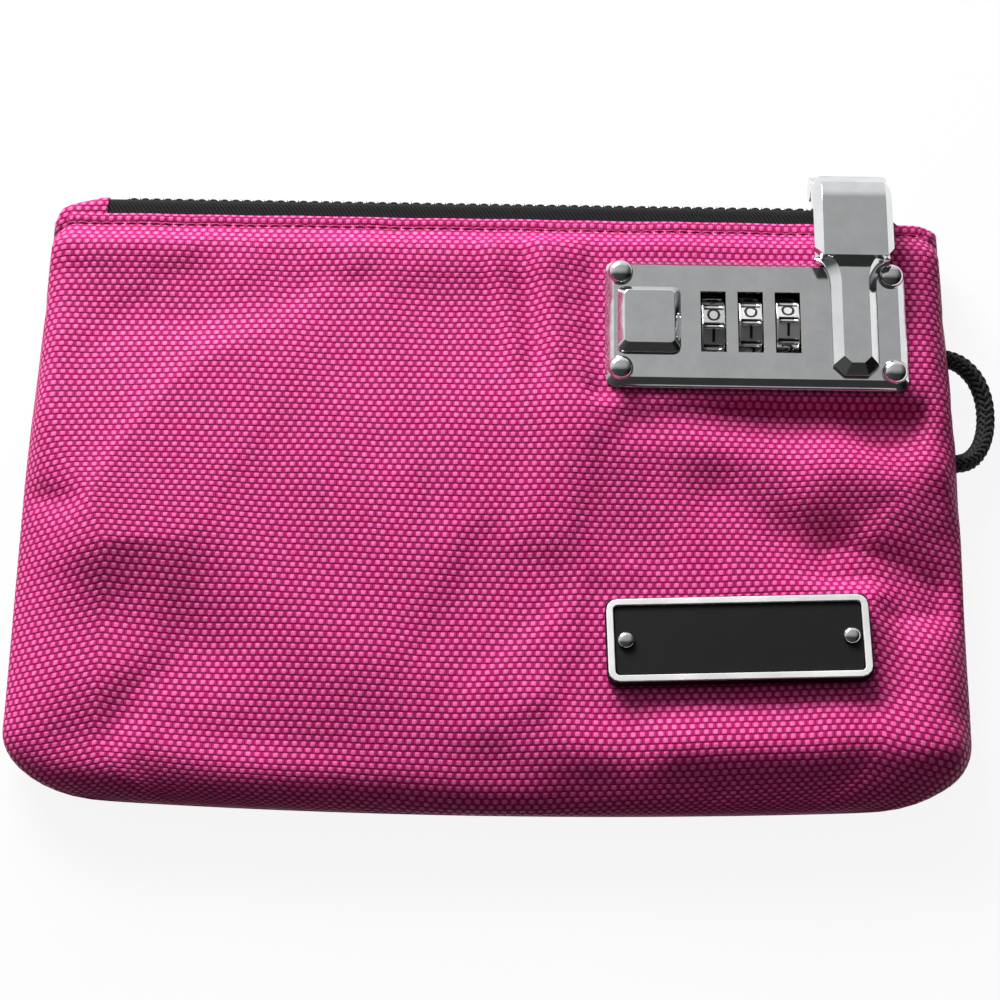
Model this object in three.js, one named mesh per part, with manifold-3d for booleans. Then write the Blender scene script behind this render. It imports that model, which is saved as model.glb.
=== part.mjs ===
// Lockable zip pouch with a combination lock, lying on its back
// Millimetres, +X along the zip, +Y towards the zip, +Z up from the table
import * as THREE from 'three';
import * as BufferGeometryUtils from 'three/addons/utils/BufferGeometryUtils.js';
import Module from 'manifold-3d';

const wasm = await Module();
wasm.setup();

// Fits
const gap = 0.3;
const weldOverlap = 0.1;
const cutOverrun = 1;

// Pouch outline and fullness
const pouchTopWidth = 216;
const pouchBottomWidth = 220;
const pouchHeight = 144.5;
const hemY = 69.6;
const cornerRun = 24;
const cornerRise = 15;
const bottomBow = 3.4;
const clothThickness = 1.0;
const seamHeight = 6.5;
const hemHeight = 16.2;
const hemFlat = 8.5;
const hemBlend = 9;
const fullness = 15.4;
const lockClothHeight = 17.7;
const lockMargin = 1;
const lockBlend = 38;
const labelMargin = 4;
const labelBlend = 8;
const foldLines = [
  { from: [-46, 42], to: [-94, -8], half: 10, rise: 1.6 },
  { from: [-84, -34], to: [-62, -34], half: 12, rise: -1.2 },
  { from: [65, 5], to: [105, -3], half: 8, rise: 1.3 },
  { from: [71, -12], to: [109, -23], half: 8, rise: -1.7 },
  { from: [45, -62], to: [98, -44], half: 9, rise: 1.2 },
  { from: [-67, -48], to: [-80, -66], half: 8, rise: 1.2 },
];
const frontSideRoundTop = 7;
const frontSideRoundBottom = 22;
const frontSideBlend = 40;
const frontBottomRound = 13;
const rearSideRound = 10;
const rearBottomRound = 8;
const seamAllowance = 7;
const seamTapeBelowHem = 14;
const seamTapeAboveCorner = 5;

// Zip
const tapeThickness = 0.6;
const tapeInside = 8;
const zipProud = 4.7;
const noseRadius = 2.2;
const zipLeftInset = 12.5;
const zipRightInset = 9.5;
const tabInset = 3;
const tabSlope = 0.45;
const noseFade = 6.5;
const noseFadeOverlap = 5.5;
const tuckUnderHem = 1;
const tabSlit = 0.4;
const taperRoom = 0.2;
const beadTailGap = 2;
const rowTailGap = 3;
const toothPitch = 2.75;
const toothThickness = 1.1;
const toothHalfDepth = 1.2;
const toothReach = 0.7;
const toothFoot = 2.2;
const toothTipShare = 0.8;
const firstToothInset = 18.5;
const beadHalf = 0.7;
const beadOverhang = 1.5;
const rowSplit = 1.5;
const stopLength = 3;
const topStopHalf = 1;
const topStopGap = 1;

// Slider
const sliderLength = 15;
const sliderTailHalf = 3.7;
const sliderNoseHalf = 4.9;
const sliderRamp = 3;
const sliderCorner = 1;
const sliderPlate = 1.5;
const sliderTaper = 0.94;
const sliderRoom = 0.4;
const railWidth = 0.8;
const railDepth = 0.8;
const wedgeFront = 2.4;
const wedgeFull = 4.4;
const wedgeBack = 7;
const pivotProud = 4.1;
const pivotRise = 8.3;
const lugWidth = 6.4;
const lugRadius = 2.3;
const lugFoot = 2.5;
const pinRadius = 1.1;
const pinLength = 15;

// Pull, from its pin
const barrelRadius = 3.0;
const barrelLength = 18.4;
const headTopWidth = 15.1;
const headWidth = 18.9;
const headRise = 10.7;
const headUnder = 2.0;
const headLength = 22.5;
const headUndercut = 2.2;
const headPanelRear = 8;
const headBandRear = 3.2;
const headBandDrop = 1.1;
const headRearDrop = 3.7;
const headSideDrop = 2.6;
const pullLength = 50.9;
const neckStart = 20.8;
const neckLength = 7.1;
const neckHalfWidth = 9.0;
const tongueHalfWidth = 5.4;
const tongueThickness = 3.2;
const tongueWall = 0.8;
const tongueBevel = 2.2;
const tongueOverlap = 2;
const tipChamfer = 2.6;
const slotFront = 5;
const slotRear = 6;

// Lock plate and its rivets, from the plate's centre
const lockInset = 46;
const lockBelowHem = 28.4;
const plateWidth = 71.4;
const plateHeight = 32.9;
const plateRise = 2.3;
const plateEdge = 0.3;
const plateBevel = 2;
const plateWall = 0.9;
const plateSideWall = 1.6;
const plateInnerSlope = 1.3;
const plateCorner = 3;
const rivetInsetU = 3.6;
const rivetInsetV = 4.1;
const rivetHeadRadius = 3;
const rivetHeadHeight = 2;
const rivetShankRadius = 1.4;
const clinchRadius = 2.3;
const clinchHeight = 1.1;
const backingThickness = 1.2;
const backingMargin = 0.8;

// Lock housing
const housingInsetU = 6.5;
const housingInsetV = 4.1;
const housingDepth = 17.2;
const housingWall = 1;
const housingFloor = 0.8;
const bulkheadWall = 1.2;
const bulkheadRoom = 2.4;

// Dials
const windowWidth = 6;
const windowHeight = 15.6;
const middleDialU = -1.4;
const dialPitch = 8.8;
const dialRadius = 8.5;
const dialWidth = 5.4;
const dialFaces = 10;
const dialTurns = [10, 17, 22];
const dialProud = 1.2;
const sleeveRadius = 3.2;
const sleeveOverhang = 0.2;
const shaftRadius = 1.25;
const shaftOverhang = 0.7;
const codeDiscRadius = 4.6;
const codeDiscThickness = 0.5;
const notchClearance = 0.35;
const springThickness = 0.5;
const springFinger = 3;
const springFoot = 2.5;
const springStep = 1;
const springContact = 1;
const springClearance = 0.5;

// Release button and latch
const latchTravel = 1.6;
const buttonInset = 10.3;
const buttonV = 0;
const buttonWidth = 15;
const buttonHeight = 17;
const buttonTopWidth = 11.8;
const buttonTopHeight = 13.6;
const buttonCorner = 1.8;
const buttonTopCorner = 1.2;
const buttonRise = 2.3;
const buttonSkirt = 0.4;
const stemOffset = 1.9;
const stemWidth = 4;
const stemHeight = 10;
const stemDepth = 5;
const screwRadius = 0.8;
const screwLength = 4.5;
const screwHeadRadius = 1.6;
const screwHeadHeight = 0.9;
const padThickness = 1.2;
const padReach = 2.5;
const barThickness = 1.8;
const barTop = -5;
const barHeight = 5.5;
const barEndRoom = 2.2;
const fenceThickness = 0.5;
const fenceHeight = 1.2;
const fenceReach = 3.6;
const hookInset = 12.6;
const hookV = -6.7;
const hookShank = 1.4;
const hookDepth = 2.9;
const hookLength = 3;
const hookSwingRoom = 4.4;
const toeReach = 1.6;
const toeHeight = 0.8;
const noseClearance = 0.4;
const noseHeight = 0.6;
const noseWidth = 1.9;

// Label
const labelInset = 51.5;
const labelAboveBottom = 38.9;
const labelTurn = 2.2;
const labelWidth = 60;
const labelHeight = 20;
const labelThickness = 2.6;
const labelCorner = 2.5;
const rimWidth = 1.5;
const rimRise = 0.6;
const rimDepth = 0.6;
const rimEdge = 0.1;
const labelRivetInset = 4.5;
const labelRivetRadius = 1.95;
const labelRivetHeight = 1.1;
const labelShankRadius = 0.9;
const labelClinchHeight = 0.8;

// Cord loop, its route from the side seam's edge out and back
const cordRadius = 2.3;
const cordOutY = 38.4;
const cordInY = 11.4;
const cordTunnel = 8;
const cordRoute = [
  [-3.0, 38.4, 6.5],
  [0.9, 38.3, 6.4],
  [4.4, 36.9, 5.6],
  [7.5, 33.9, 4.3],
  [9.3, 29.6, 3.2],
  [9.7, 25.0, 2.8],
  [9.1, 20.4, 3.2],
  [7.5, 16.2, 4.3],
  [5.1, 13.0, 5.6],
  [2.3, 11.6, 6.4],
  [-1.6, 11.4, 6.5],
];

// Faceting
const edgeSteps = 4;
const cornerSteps = 6;
const frontRows = 12;
const frontColumns = 16;
const rearCells = 6;
const seamRows = 8;
const noseSteps = 4;
const tabColumns = 4;
const neckSteps = 5;
const domeSteps = 4;
const cornerFacets = 3;
const roundSides = 12;
const rodSides = 18;
const smallHoleSides = 10;
const cordSides = 10;
const cordSteps = 14;

// Places worked out from the sizes
const halfTop = pouchTopWidth / 2;
const halfBottom = pouchBottomWidth / 2;
const pouchBottomY = hemY - pouchHeight;
const frontTapeZ = hemHeight - clothThickness - gap - tapeThickness / 2;
const rearTapeZ = clothThickness + gap + tapeThickness / 2;
const zipZ = (frontTapeZ + rearTapeZ) / 2;
const noseHalf = (frontTapeZ - rearTapeZ) / 2;
const zipFaceY = hemY + zipProud;
const zipLeftEnd = zipLeftInset - halfTop;
const zipRightEnd = halfTop - zipRightInset;
const tabEnd = halfTop - tabInset;
const taperStart = halfTop - frontSideRoundTop - clothThickness;
const taperLength = frontSideRoundTop - clothThickness + taperRoom;
const noseFullRight = zipRightEnd - noseFadeOverlap;
const firstToothX = firstToothInset - halfTop;
const beadStart = firstToothX - beadOverhang;
const lockX = Math.min(halfTop, halfBottom) - lockInset;
const lockY = hemY - lockBelowHem;
const plateTopZ = lockClothHeight + gap + plateRise;
const clothW = -plateRise - gap;
const backingTop = clothW - clothThickness - gap;
const backingBottom = backingTop - backingThickness;
const housingHalfU = plateWidth / 2 - housingInsetU;
const housingHalfV = plateHeight / 2 - housingInsetV;
const innerHalfU = housingHalfU - housingWall;
const innerHalfV = housingHalfV - housingWall;
const housingTop = -plateWall - gap;
const housingFloorW = housingFloor - housingDepth;
const holeHalfU = housingHalfU + gap;
const holeHalfV = housingHalfV + gap;
const dialW = dialProud - dialRadius;
const dialU = [-1, 0, 1].map((step) => middleDialU + step * dialPitch);
const leftBulkheadU = dialU[0] - dialWidth / 2 - bulkheadRoom;
const rightBulkheadU = dialU[2] + dialPitch / 2 + bulkheadRoom;
const barV = barThickness / 2 + 2 * gap - innerHalfV;
const buttonU = buttonInset - plateWidth / 2;
const stemU = buttonU + stemOffset;
const padTop = -stemDepth - gap;
const screwTop = padTop - padThickness - gap + screwLength;
const barLeftU = barEndRoom - innerHalfU;
const hookU = plateWidth / 2 - hookInset;
const sliderX = lockX + hookU;
const pivotY = zipFaceY + pivotProud;
const pivotZ = zipZ + pivotRise;
const rearmostY = pivotY + barrelRadius;
const splitStart = sliderX - sliderRamp;
const splitEnd = sliderX + sliderRamp;
const sliderHalf = sliderLength / 2;
const plateFace = toothHalfDepth + sliderRoom;
const labelX = Math.min(halfTop, halfBottom) - labelInset;
const labelY = pouchBottomY + labelAboveBottom;
const labelRivetAlong = labelWidth / 2 - labelRivetInset;

// Colours
const cloth = paint(0xc8206e, 0.85, 0);
const clothDark = paint(0x8f1650, 0.9, 0);
const blackTape = paint(0x161618, 0.9, 0);
const chrome = paint(0xd4d6d8, 0.15, 1);
const steel = paint(0x9a9da0, 0.35, 1);
const brass = paint(0xb89a58, 0.35, 1);
const dieCast = paint(0x8b8d90, 0.5, 1);
const rubber = paint(0x101012, 0.6, 0);
const whiteRubber = paint(0xeeeeec, 0.55, 0);
const cordBlack = paint(0x0d0d0f, 0.9, 0);

const pouch = new THREE.Group();
const table = new THREE.Group();
table.position.y = -(rearmostY + pouchBottomY) / 2;
pouch.add(table);

buildPanels(table);
buildZip(table);
buildSlider(table);
buildPull(table);
buildLock(table);
buildLabel(table);
buildCord(table);

export default pouch;

// Materials and meshes
function paint(color, roughness, metalness) {
  return new THREE.MeshStandardMaterial({ color, roughness, metalness });
}

function add(group, name, geometry, material) {
  const mesh = new THREE.Mesh(geometry, material);
  mesh.name = name;
  group.add(mesh);
  return mesh;
}

function groupAt(parent, x, y, z) {
  const group = new THREE.Group();
  group.position.set(x, y, z);
  parent.add(group);
  return group;
}

// Booleans
function solidOf(geometry) {
  const bare = geometry.clone();
  bare.deleteAttribute('normal');
  bare.deleteAttribute('uv');
  const merged = BufferGeometryUtils.mergeVertices(bare, 1e-4);
  const vertProperties = new Float32Array(merged.attributes.position.array);
  const triVerts = new Uint32Array(merged.index.array);
  return new wasm.Manifold(new wasm.Mesh({ numProp: 3, vertProperties, triVerts }));
}

function geometryOf(solid) {
  const mesh = solid.getMesh();
  const geometry = new THREE.BufferGeometry();
  geometry.setAttribute('position', new THREE.BufferAttribute(mesh.vertProperties, 3));
  geometry.setIndex(new THREE.BufferAttribute(mesh.triVerts, 1));
  return geometry;
}

function join(...geometries) {
  return geometryOf(geometries.map(solidOf).reduce((whole, piece) => whole.add(piece)));
}

function cut(geometry, ...tools) {
  const start = solidOf(geometry);
  return geometryOf(tools.map(solidOf).reduce((whole, tool) => whole.subtract(tool), start));
}

// Basic shapes
function indexed(positions, index) {
  const geometry = new THREE.BufferGeometry();
  geometry.setAttribute('position', new THREE.Float32BufferAttribute(positions, 3));
  geometry.setIndex(index);
  return geometry;
}

function box(x0, x1, y0, y1, z0, z1) {
  const geometry = new THREE.BoxGeometry(x1 - x0, y1 - y0, z1 - z0);
  return geometry.translate((x0 + x1) / 2, (y0 + y1) / 2, (z0 + z1) / 2);
}

function rodX(radius, x0, x1, y, z, sides = rodSides) {
  const geometry = new THREE.CylinderGeometry(radius, radius, x1 - x0, sides);
  return geometry.rotateZ(Math.PI / 2).translate((x0 + x1) / 2, y, z);
}

function rodZ(radius, z0, z1, x, y, sides = roundSides) {
  const geometry = new THREE.CylinderGeometry(radius, radius, z1 - z0, sides);
  return geometry.rotateX(Math.PI / 2).translate(x, y, (z0 + z1) / 2);
}

function revolve(profile) {
  const points = profile.map(([radius, z]) => new THREE.Vector2(radius, z));
  return new THREE.LatheGeometry(points, roundSides).rotateX(Math.PI / 2);
}

function quarterTurns(steps) {
  return Array.from({ length: steps + 1 }, (_, step) => (Math.PI / 2) * (step / steps));
}

function evenly(from, to, steps) {
  return Array.from({ length: steps + 1 }, (_, k) => THREE.MathUtils.lerp(from, to, k / steps));
}

function roundedRectangle(halfX, halfY, radius, z) {
  const corners = [[1, 1], [-1, 1], [-1, -1], [1, -1]];
  return corners.flatMap(([signX, signY], corner) => {
    return quarterTurns(cornerFacets).map((turn) => {
      const angle = turn + (corner * Math.PI) / 2;
      const x = signX * (halfX - radius) + radius * Math.cos(angle);
      const y = signY * (halfY - radius) + radius * Math.sin(angle);
      return new THREE.Vector3(x, y, z);
    });
  });
}

function rectangle(x, y, halfX, halfY, z) {
  const corners = [[1, 1], [-1, 1], [-1, -1], [1, -1]];
  return corners.map(([signX, signY]) => {
    return new THREE.Vector3(x + signX * halfX, y + signY * halfY, z);
  });
}

// An outline with its own mirror image across the X axis
function mirrored(side, z) {
  const other = side.map(([x, y]) => [x, -y]).reverse();
  return [...side, ...other].map(([x, y]) => new THREE.Vector3(x, y, z));
}

// A closed solid through outlines of equal count, stacked upwards
function stack(outlines) {
  const count = outlines[0].length;
  const positions = outlines.flat().flatMap((point) => [point.x, point.y, point.z]);
  const index = [];
  for (let level = 0; level < outlines.length - 1; level += 1) {
    for (let side = 0; side < count; side += 1) {
      const next = (side + 1) % count;
      const a = level * count + side;
      const b = level * count + next;
      index.push(a, b, b + count, a, b + count, a + count);
    }
  }
  const top = (outlines.length - 1) * count;
  const flat = outlines[0].map((point) => new THREE.Vector2(point.x, point.y));
  for (const [a, b, c] of THREE.ShapeUtils.triangulateShape(flat, [])) {
    index.push(a, c, b, top + a, top + b, top + c);
  }
  return indexed(positions, index);
}

// Turns a form built upwards to run along X, with its own X and Y becoming Y and Z
function turnToX(geometry) {
  return geometry.rotateX(Math.PI / 2).rotateZ(Math.PI / 2);
}

// A profile in the YZ plane drawn out along X, with its ends bevelled when asked
function alongX(profile, x0, x1, bevelRun = 0, bevelDrop = 0) {
  const shape = new THREE.Shape(profile.map(([y, z]) => new THREE.Vector2(y, z)));
  const geometry = new THREE.ExtrudeGeometry(shape, {
    depth: x1 - x0 - 2 * bevelRun,
    steps: 1,
    bevelEnabled: bevelRun > 0,
    bevelThickness: bevelRun,
    bevelSize: bevelDrop,
    bevelOffset: -bevelDrop,
    bevelSegments: 1,
  });
  return turnToX(geometry).translate(x0 + bevelRun, 0, 0);
}

// A closed solid between two grids of points
function shell(outer, inner) {
  const rows = outer.length;
  const columns = outer[0].length;
  const positions = [...outer.flat(), ...inner.flat()].flatMap((p) => [p.x, p.y, p.z]);
  const index = [];
  const under = rows * columns;
  const at = (i, j) => i * columns + j;
  const quad = (a, b, c, d) => index.push(a, b, c, a, c, d);
  for (let i = 0; i < rows - 1; i += 1) {
    for (let j = 0; j < columns - 1; j += 1) {
      const [a, b, c, d] = [at(i, j), at(i + 1, j), at(i + 1, j + 1), at(i, j + 1)];
      quad(a, b, c, d);
      quad(under + a, under + d, under + c, under + b);
    }
  }
  const rim = [];
  for (let j = 0; j < columns - 1; j += 1) rim.push(at(0, j));
  for (let i = 0; i < rows - 1; i += 1) rim.push(at(i, columns - 1));
  for (let j = columns - 1; j > 0; j -= 1) rim.push(at(rows - 1, j));
  for (let i = rows - 1; i > 0; i -= 1) rim.push(at(i, 0));
  rim.forEach((a, k) => {
    const b = rim[(k + 1) % rim.length];
    quad(a, b, under + b, under + a);
  });
  return indexed(positions, index);
}

// A sheet of even thickness under a grid of outer points
function sheet(outer, thickness) {
  const lastRow = outer.length - 1;
  const lastColumn = outer[0].length - 1;
  const inner = outer.map((row, i) => row.map((point, j) => {
    const across = between(outer, i, Math.max(j - 1, 0), i, Math.min(j + 1, lastColumn));
    const down = between(outer, Math.max(i - 1, 0), j, Math.min(i + 1, lastRow), j);
    const inward = across.cross(down).normalize();
    return point.clone().addScaledVector(inward, thickness);
  }));
  return shell(outer, inner);
}

function between(grid, i0, j0, i1, j1) {
  return grid[i1][j1].clone().sub(grid[i0][j0]);
}

function smooth(t) {
  return THREE.MathUtils.smoothstep(t, 0, 1);
}

// Pouch cloth
function halfWidth(y, inset = 0) {
  const side = THREE.MathUtils.lerp(halfTop, halfBottom, smooth((2 * (hemY - y)) / pouchHeight));
  const missing = Math.max(cornerRise - (y - pouchBottomY), 0) / (cornerRise - inset);
  return side - cornerRun + (cornerRun - inset) * Math.sqrt(Math.max(1 - missing ** 2, 0));
}

// A point of the cloth, with the bottom edge bowed so that its ends lie higher
function clothPoint(x, y, z) {
  const down = (hemY - y) / pouchHeight;
  return new THREE.Vector3(x, y + bottomBow * (x / halfBottom) ** 2 * down ** 2, z);
}

// The share of full height reached at a share of the way in from an edge
function riseAt(share) {
  return Math.sqrt(1 - (1 - Math.min(share, 1)) ** 2);
}

function columnsAt(y, round, cells, inset) {
  const half = halfWidth(y, inset);
  const right = quarterTurns(edgeSteps).slice(0, -1).map((angle) => {
    return { x: half - round * (1 - Math.cos(angle)), rise: Math.sin(angle) };
  });
  const left = right.map(({ x, rise }) => ({ x: -x, rise }));
  const centre = evenly(round - half, half - round, cells).map((x) => ({ x, rise: 1 }));
  return [...left, ...centre, ...right.reverse()];
}

function rowsAt(round, cells, inset) {
  const low = pouchBottomY + inset;
  const rise = cornerRise - inset;
  const body = evenly(hemY, low + rise, cells).slice(0, -1);
  const corner = quarterTurns(cornerSteps).map((angle) => low + rise * (1 - Math.sin(angle)));
  return [...body, ...corner].map((y) => ({ y, rise: riseAt((y - low) / round) }));
}

// Rise of the cloth's soft folds at a point, away from the label
function foldRise(x, y) {
  const outX = Math.max(Math.abs(x - labelX) - labelWidth / 2 - labelMargin, 0);
  const outY = Math.max(Math.abs(y - labelY) - labelHeight / 2 - labelMargin, 0);
  const point = new THREE.Vector3(x, y, 0);
  const rises = foldLines.map(({ from, to, half, rise }) => {
    const line = new THREE.Line3(new THREE.Vector3(...from, 0), new THREE.Vector3(...to, 0));
    const near = line.closestPointToPoint(point, true, new THREE.Vector3());
    return rise * Math.exp(-((point.distanceTo(near) / half) ** 2));
  });
  return rises.reduce((sum, rise) => sum + rise, 0) * smooth(Math.hypot(outX, outY) / labelBlend);
}

// Height of the front cloth's middle: flat at the hem, lower below it, raised under the lock
function crownHeight(x, y) {
  const fall = smooth((hemY - hemFlat - y) / hemBlend);
  const plain = THREE.MathUtils.lerp(hemHeight, fullness + foldRise(x, y), fall);
  const flatX = plateWidth / 2 + lockMargin;
  const flatY = plateHeight / 2 + lockMargin;
  const blendY = y > lockY ? hemY - lockY - flatY : lockBlend;
  const outX = Math.max(Math.abs(x - lockX) - flatX, 0) / lockBlend;
  const outY = Math.max(Math.abs(y - lockY) - flatY, 0) / blendY;
  return THREE.MathUtils.lerp(lockClothHeight, plain, smooth(Math.hypot(outX, outY)));
}

function frontSideRound(y) {
  const down = smooth((frontSideBlend / 2 - y) / frontSideBlend);
  return THREE.MathUtils.lerp(frontSideRoundTop, frontSideRoundBottom, down);
}

function frontSurface(inset) {
  const seam = seamHeight + gap / 2;
  return rowsAt(frontBottomRound - inset, frontRows, inset).map(({ y, rise: riseY }) => {
    const columns = columnsAt(y, frontSideRound(y) - inset, frontColumns, inset);
    return columns.map(({ x, rise }) => {
      const lift = (crownHeight(x, y) - inset - seam) * rise * riseY;
      return clothPoint(x, y, seam + lift);
    });
  });
}

function rearSurface(inset) {
  const seam = seamHeight - gap / 2;
  return rowsAt(rearBottomRound - inset, rearCells, inset).map(({ y, rise: riseY }) => {
    const columns = columnsAt(y, rearSideRound - inset, rearCells, inset);
    return columns.map(({ x, rise }) => {
      return clothPoint(-x, y, seam - (seam - inset) * rise * riseY);
    });
  });
}

function cordHoles() {
  return [cordOutY, cordInY].map((y) => {
    const seam = halfWidth(y);
    const half = cordTunnel / 2;
    return rodX(cordRadius + gap, seam - half, seam + half, y, seamHeight, roundSides);
  });
}

function frontPanel() {
  const hole = box(
    lockX - holeHalfU, lockX + holeHalfU, lockY - holeHalfV, lockY + holeHalfV,
    seamHeight, plateTopZ,
  );
  const rivetHoles = rivetPlaces().map(([u, v]) => {
    return rodZ(rivetShankRadius + gap, seamHeight, plateTopZ, lockX + u, lockY + v);
  });
  const labelHoles = labelRivetPlaces().map(([x, y]) => {
    return rodZ(labelShankRadius + gap, seamHeight, plateTopZ, x, y, smallHoleSides);
  });
  const whole = shell(frontSurface(0), frontSurface(clothThickness));
  return cut(whole, hole, ...rivetHoles, ...labelHoles, ...cordHoles());
}

function rearPanel() {
  return cut(shell(rearSurface(0), rearSurface(clothThickness)), ...cordHoles());
}

// The seam allowance, turned inwards and bound
function seamTape(side) {
  const inset = clothThickness + gap;
  const top = hemY - seamTapeBelowHem;
  const bottom = pouchBottomY + cornerRise + seamTapeAboveCorner;
  const rows = evenly(top, bottom, seamRows).map((y) => {
    const outer = halfWidth(y) - inset;
    const ends = [outer - seamAllowance, outer].map((x) => {
      return clothPoint(side * x, y, seamHeight + clothThickness / 2);
    });
    return side > 0 ? ends : ends.reverse();
  });
  return sheet(rows, clothThickness);
}

function buildPanels(group) {
  add(group, 'front_panel', frontPanel(), cloth);
  add(group, 'rear_panel', rearPanel(), cloth);
  add(group, 'seam_tape_left', seamTape(-1), clothDark);
  add(group, 'seam_tape_right', cut(seamTape(1), ...cordHoles()), clothDark);
}

// Zip tapes and end tabs
function endTaper(x) {
  const past = Math.max(Math.abs(x) - taperStart, 0) / taperLength;
  return Math.sqrt(1 - past ** 2);
}

function noseReach(x) {
  if (x > noseFullRight) return 1 - smooth((x - noseFullRight) / noseFade);
  if (x < zipLeftEnd) return 1 - tabSlope * ((zipLeftEnd - x) / (tabEnd + zipLeftEnd));
  return 1;
}

function splitAt(x) {
  return rowSplit * smooth((x - splitStart) / (splitEnd - splitStart));
}

// Points of one side of the zip's rounded nose, from the teeth to inside the hem
function nosePoints(x, side, start) {
  const straight = noseHalf - noseRadius;
  const curve = quarterTurns(noseSteps).map((angle) => {
    return [zipFaceY - noseRadius * (1 - Math.cos(angle)), straight + noseRadius * Math.sin(angle)];
  });
  const raw = [[zipFaceY, start], ...curve, [hemY - tapeInside, noseHalf]];
  const inner = hemY - tuckUnderHem;
  return raw.map(([y, offset]) => {
    const reached = y > inner ? inner + (y - inner) * noseReach(x) : y;
    return new THREE.Vector3(x, reached, zipZ + side * offset * endTaper(x));
  });
}

// The tape's outer face, half a thickness out from its middle
function outerPoints(x, side, start) {
  const row = nosePoints(x, side, start);
  return row.map((point, k) => {
    const before = row[Math.max(k - 1, 0)];
    const after = row[Math.min(k + 1, row.length - 1)];
    const along = after.clone().sub(before).multiplyScalar(side);
    const out = new THREE.Vector3(0, along.z, -along.y).normalize();
    return point.clone().addScaledVector(out, tapeThickness / 2);
  });
}

function tape(side) {
  const edge = toothFoot + gap;
  const start = zipLeftEnd + gap;
  const split = evenly(splitStart, splitEnd, noseSteps);
  const stations = [start, -taperStart, ...split, ...evenly(noseFullRight, zipRightEnd, noseSteps)];
  const rows = stations.filter((x) => x >= start).map((x) => {
    const points = outerPoints(x, side, edge + splitAt(x));
    return side > 0 ? points.reverse() : points;
  });
  return sheet(rows, tapeThickness);
}

function endTab(x0, x1) {
  const rows = evenly(x0, x1, tabColumns).map((x) => {
    return [...outerPoints(x, 1, tabSlit).reverse(), ...outerPoints(x, -1, tabSlit)];
  });
  return sheet(rows, tapeThickness);
}

// Teeth and stops
function tooth(x, side) {
  const middle = zipZ + side * splitAt(x);
  const sections = [[-toothReach, toothTipShare], [toothFoot, 1]].map(([reach, share]) => {
    const halfX = (toothThickness / 2) * share;
    return rectangle(x, zipFaceY, halfX, toothHalfDepth * share, middle + side * reach);
  });
  return stack(side > 0 ? sections : sections.reverse());
}

function bead(side) {
  const end = sliderX + sliderHalf - beadTailGap;
  const stations = [beadStart, ...evenly(splitStart, splitEnd, noseSteps), end];
  const sections = stations.map((x) => {
    const z = zipZ + side * (toothFoot - beadHalf + splitAt(x));
    return rectangle(zipFaceY, z, beadHalf, beadHalf, x);
  });
  return turnToX(stack(sections));
}

function teethRow(side) {
  const teeth = [];
  const shift = side > 0 ? 0 : toothPitch / 2;
  const end = sliderX + sliderHalf - rowTailGap;
  for (let x = firstToothX + shift; x < end; x += toothPitch) {
    teeth.push(tooth(x, side));
  }
  return join(bead(side), ...teeth);
}

function topStop(side) {
  const x = sliderX + sliderHalf + topStopGap;
  const z = zipZ + side * (rowSplit + topStopHalf + weldOverlap);
  const half = toothHalfDepth;
  return box(x, x + stopLength, zipFaceY - half, zipFaceY + half, z - topStopHalf, z + topStopHalf);
}

function bottomStop() {
  const x = beadStart - gap;
  const half = toothHalfDepth;
  const reach = toothFoot;
  return box(x - stopLength, x, zipFaceY - half, zipFaceY + half, zipZ - reach, zipZ + reach);
}

function buildZip(group) {
  add(group, 'zip_tape_front', tape(1), blackTape);
  add(group, 'zip_tape_rear', tape(-1), blackTape);
  add(group, 'zip_tab_left', endTab(-tabEnd, zipLeftEnd), cloth);
  add(group, 'zip_tab_right', endTab(zipRightEnd + gap, tabEnd), cloth);
  add(group, 'teeth_front', teethRow(1), steel);
  add(group, 'teeth_rear', teethRow(-1), steel);
  add(group, 'top_stop_front', topStop(1), steel);
  add(group, 'top_stop_rear', topStop(-1), steel);
  add(group, 'bottom_stop', bottomStop(), steel);
}

// Slider, drawn lying flat and then turned to face out of the zip
function sliderOutline(depth, scale = 1) {
  const side = [
    [-sliderHalf, -sliderTailHalf + sliderCorner],
    [-sliderHalf + sliderCorner, -sliderTailHalf],
    [-sliderRamp, -sliderTailHalf],
    [sliderRamp, -sliderNoseHalf],
    [sliderHalf - sliderCorner, -sliderNoseHalf],
    [sliderHalf, -sliderNoseHalf + sliderCorner],
  ];
  return mirrored(side.map(([x, y]) => [x * scale, y * scale]), depth);
}

function sliderRails(depth0, depth1) {
  const end = sliderHalf + cutOverrun;
  const inside = [
    [-end, railWidth - sliderTailHalf],
    [-sliderRamp, railWidth - sliderTailHalf],
    [sliderRamp, railWidth - sliderNoseHalf],
    [end, railWidth - sliderNoseHalf],
  ];
  const slot = [depth0 - cutOverrun, depth1 + cutOverrun].map((depth) => mirrored(inside, depth));
  return cut(stack([sliderOutline(depth0), sliderOutline(depth1)]), stack(slot));
}

function sliderWedge() {
  const half = rowSplit - toothReach - gap;
  const outline = [
    [wedgeFront, 0], [wedgeFull, -half], [wedgeBack, -half], [wedgeBack, half], [wedgeFull, half],
  ];
  const reach = plateFace + weldOverlap;
  return stack([-reach, reach].map((depth) => {
    return outline.map(([x, y]) => new THREE.Vector3(x, y, depth));
  }));
}

function sliderBody() {
  const back = plateFace + sliderPlate;
  const railFrom = plateFace - railDepth;
  const railTo = plateFace + weldOverlap;
  const flat = join(
    stack([sliderOutline(-back, sliderTaper), sliderOutline(-plateFace)]),
    stack([sliderOutline(plateFace), sliderOutline(back, sliderTaper)]),
    sliderRails(-railTo, -railFrom),
    sliderRails(railFrom, railTo),
    sliderWedge(),
  );
  return flat.rotateX(Math.PI / 2);
}

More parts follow.
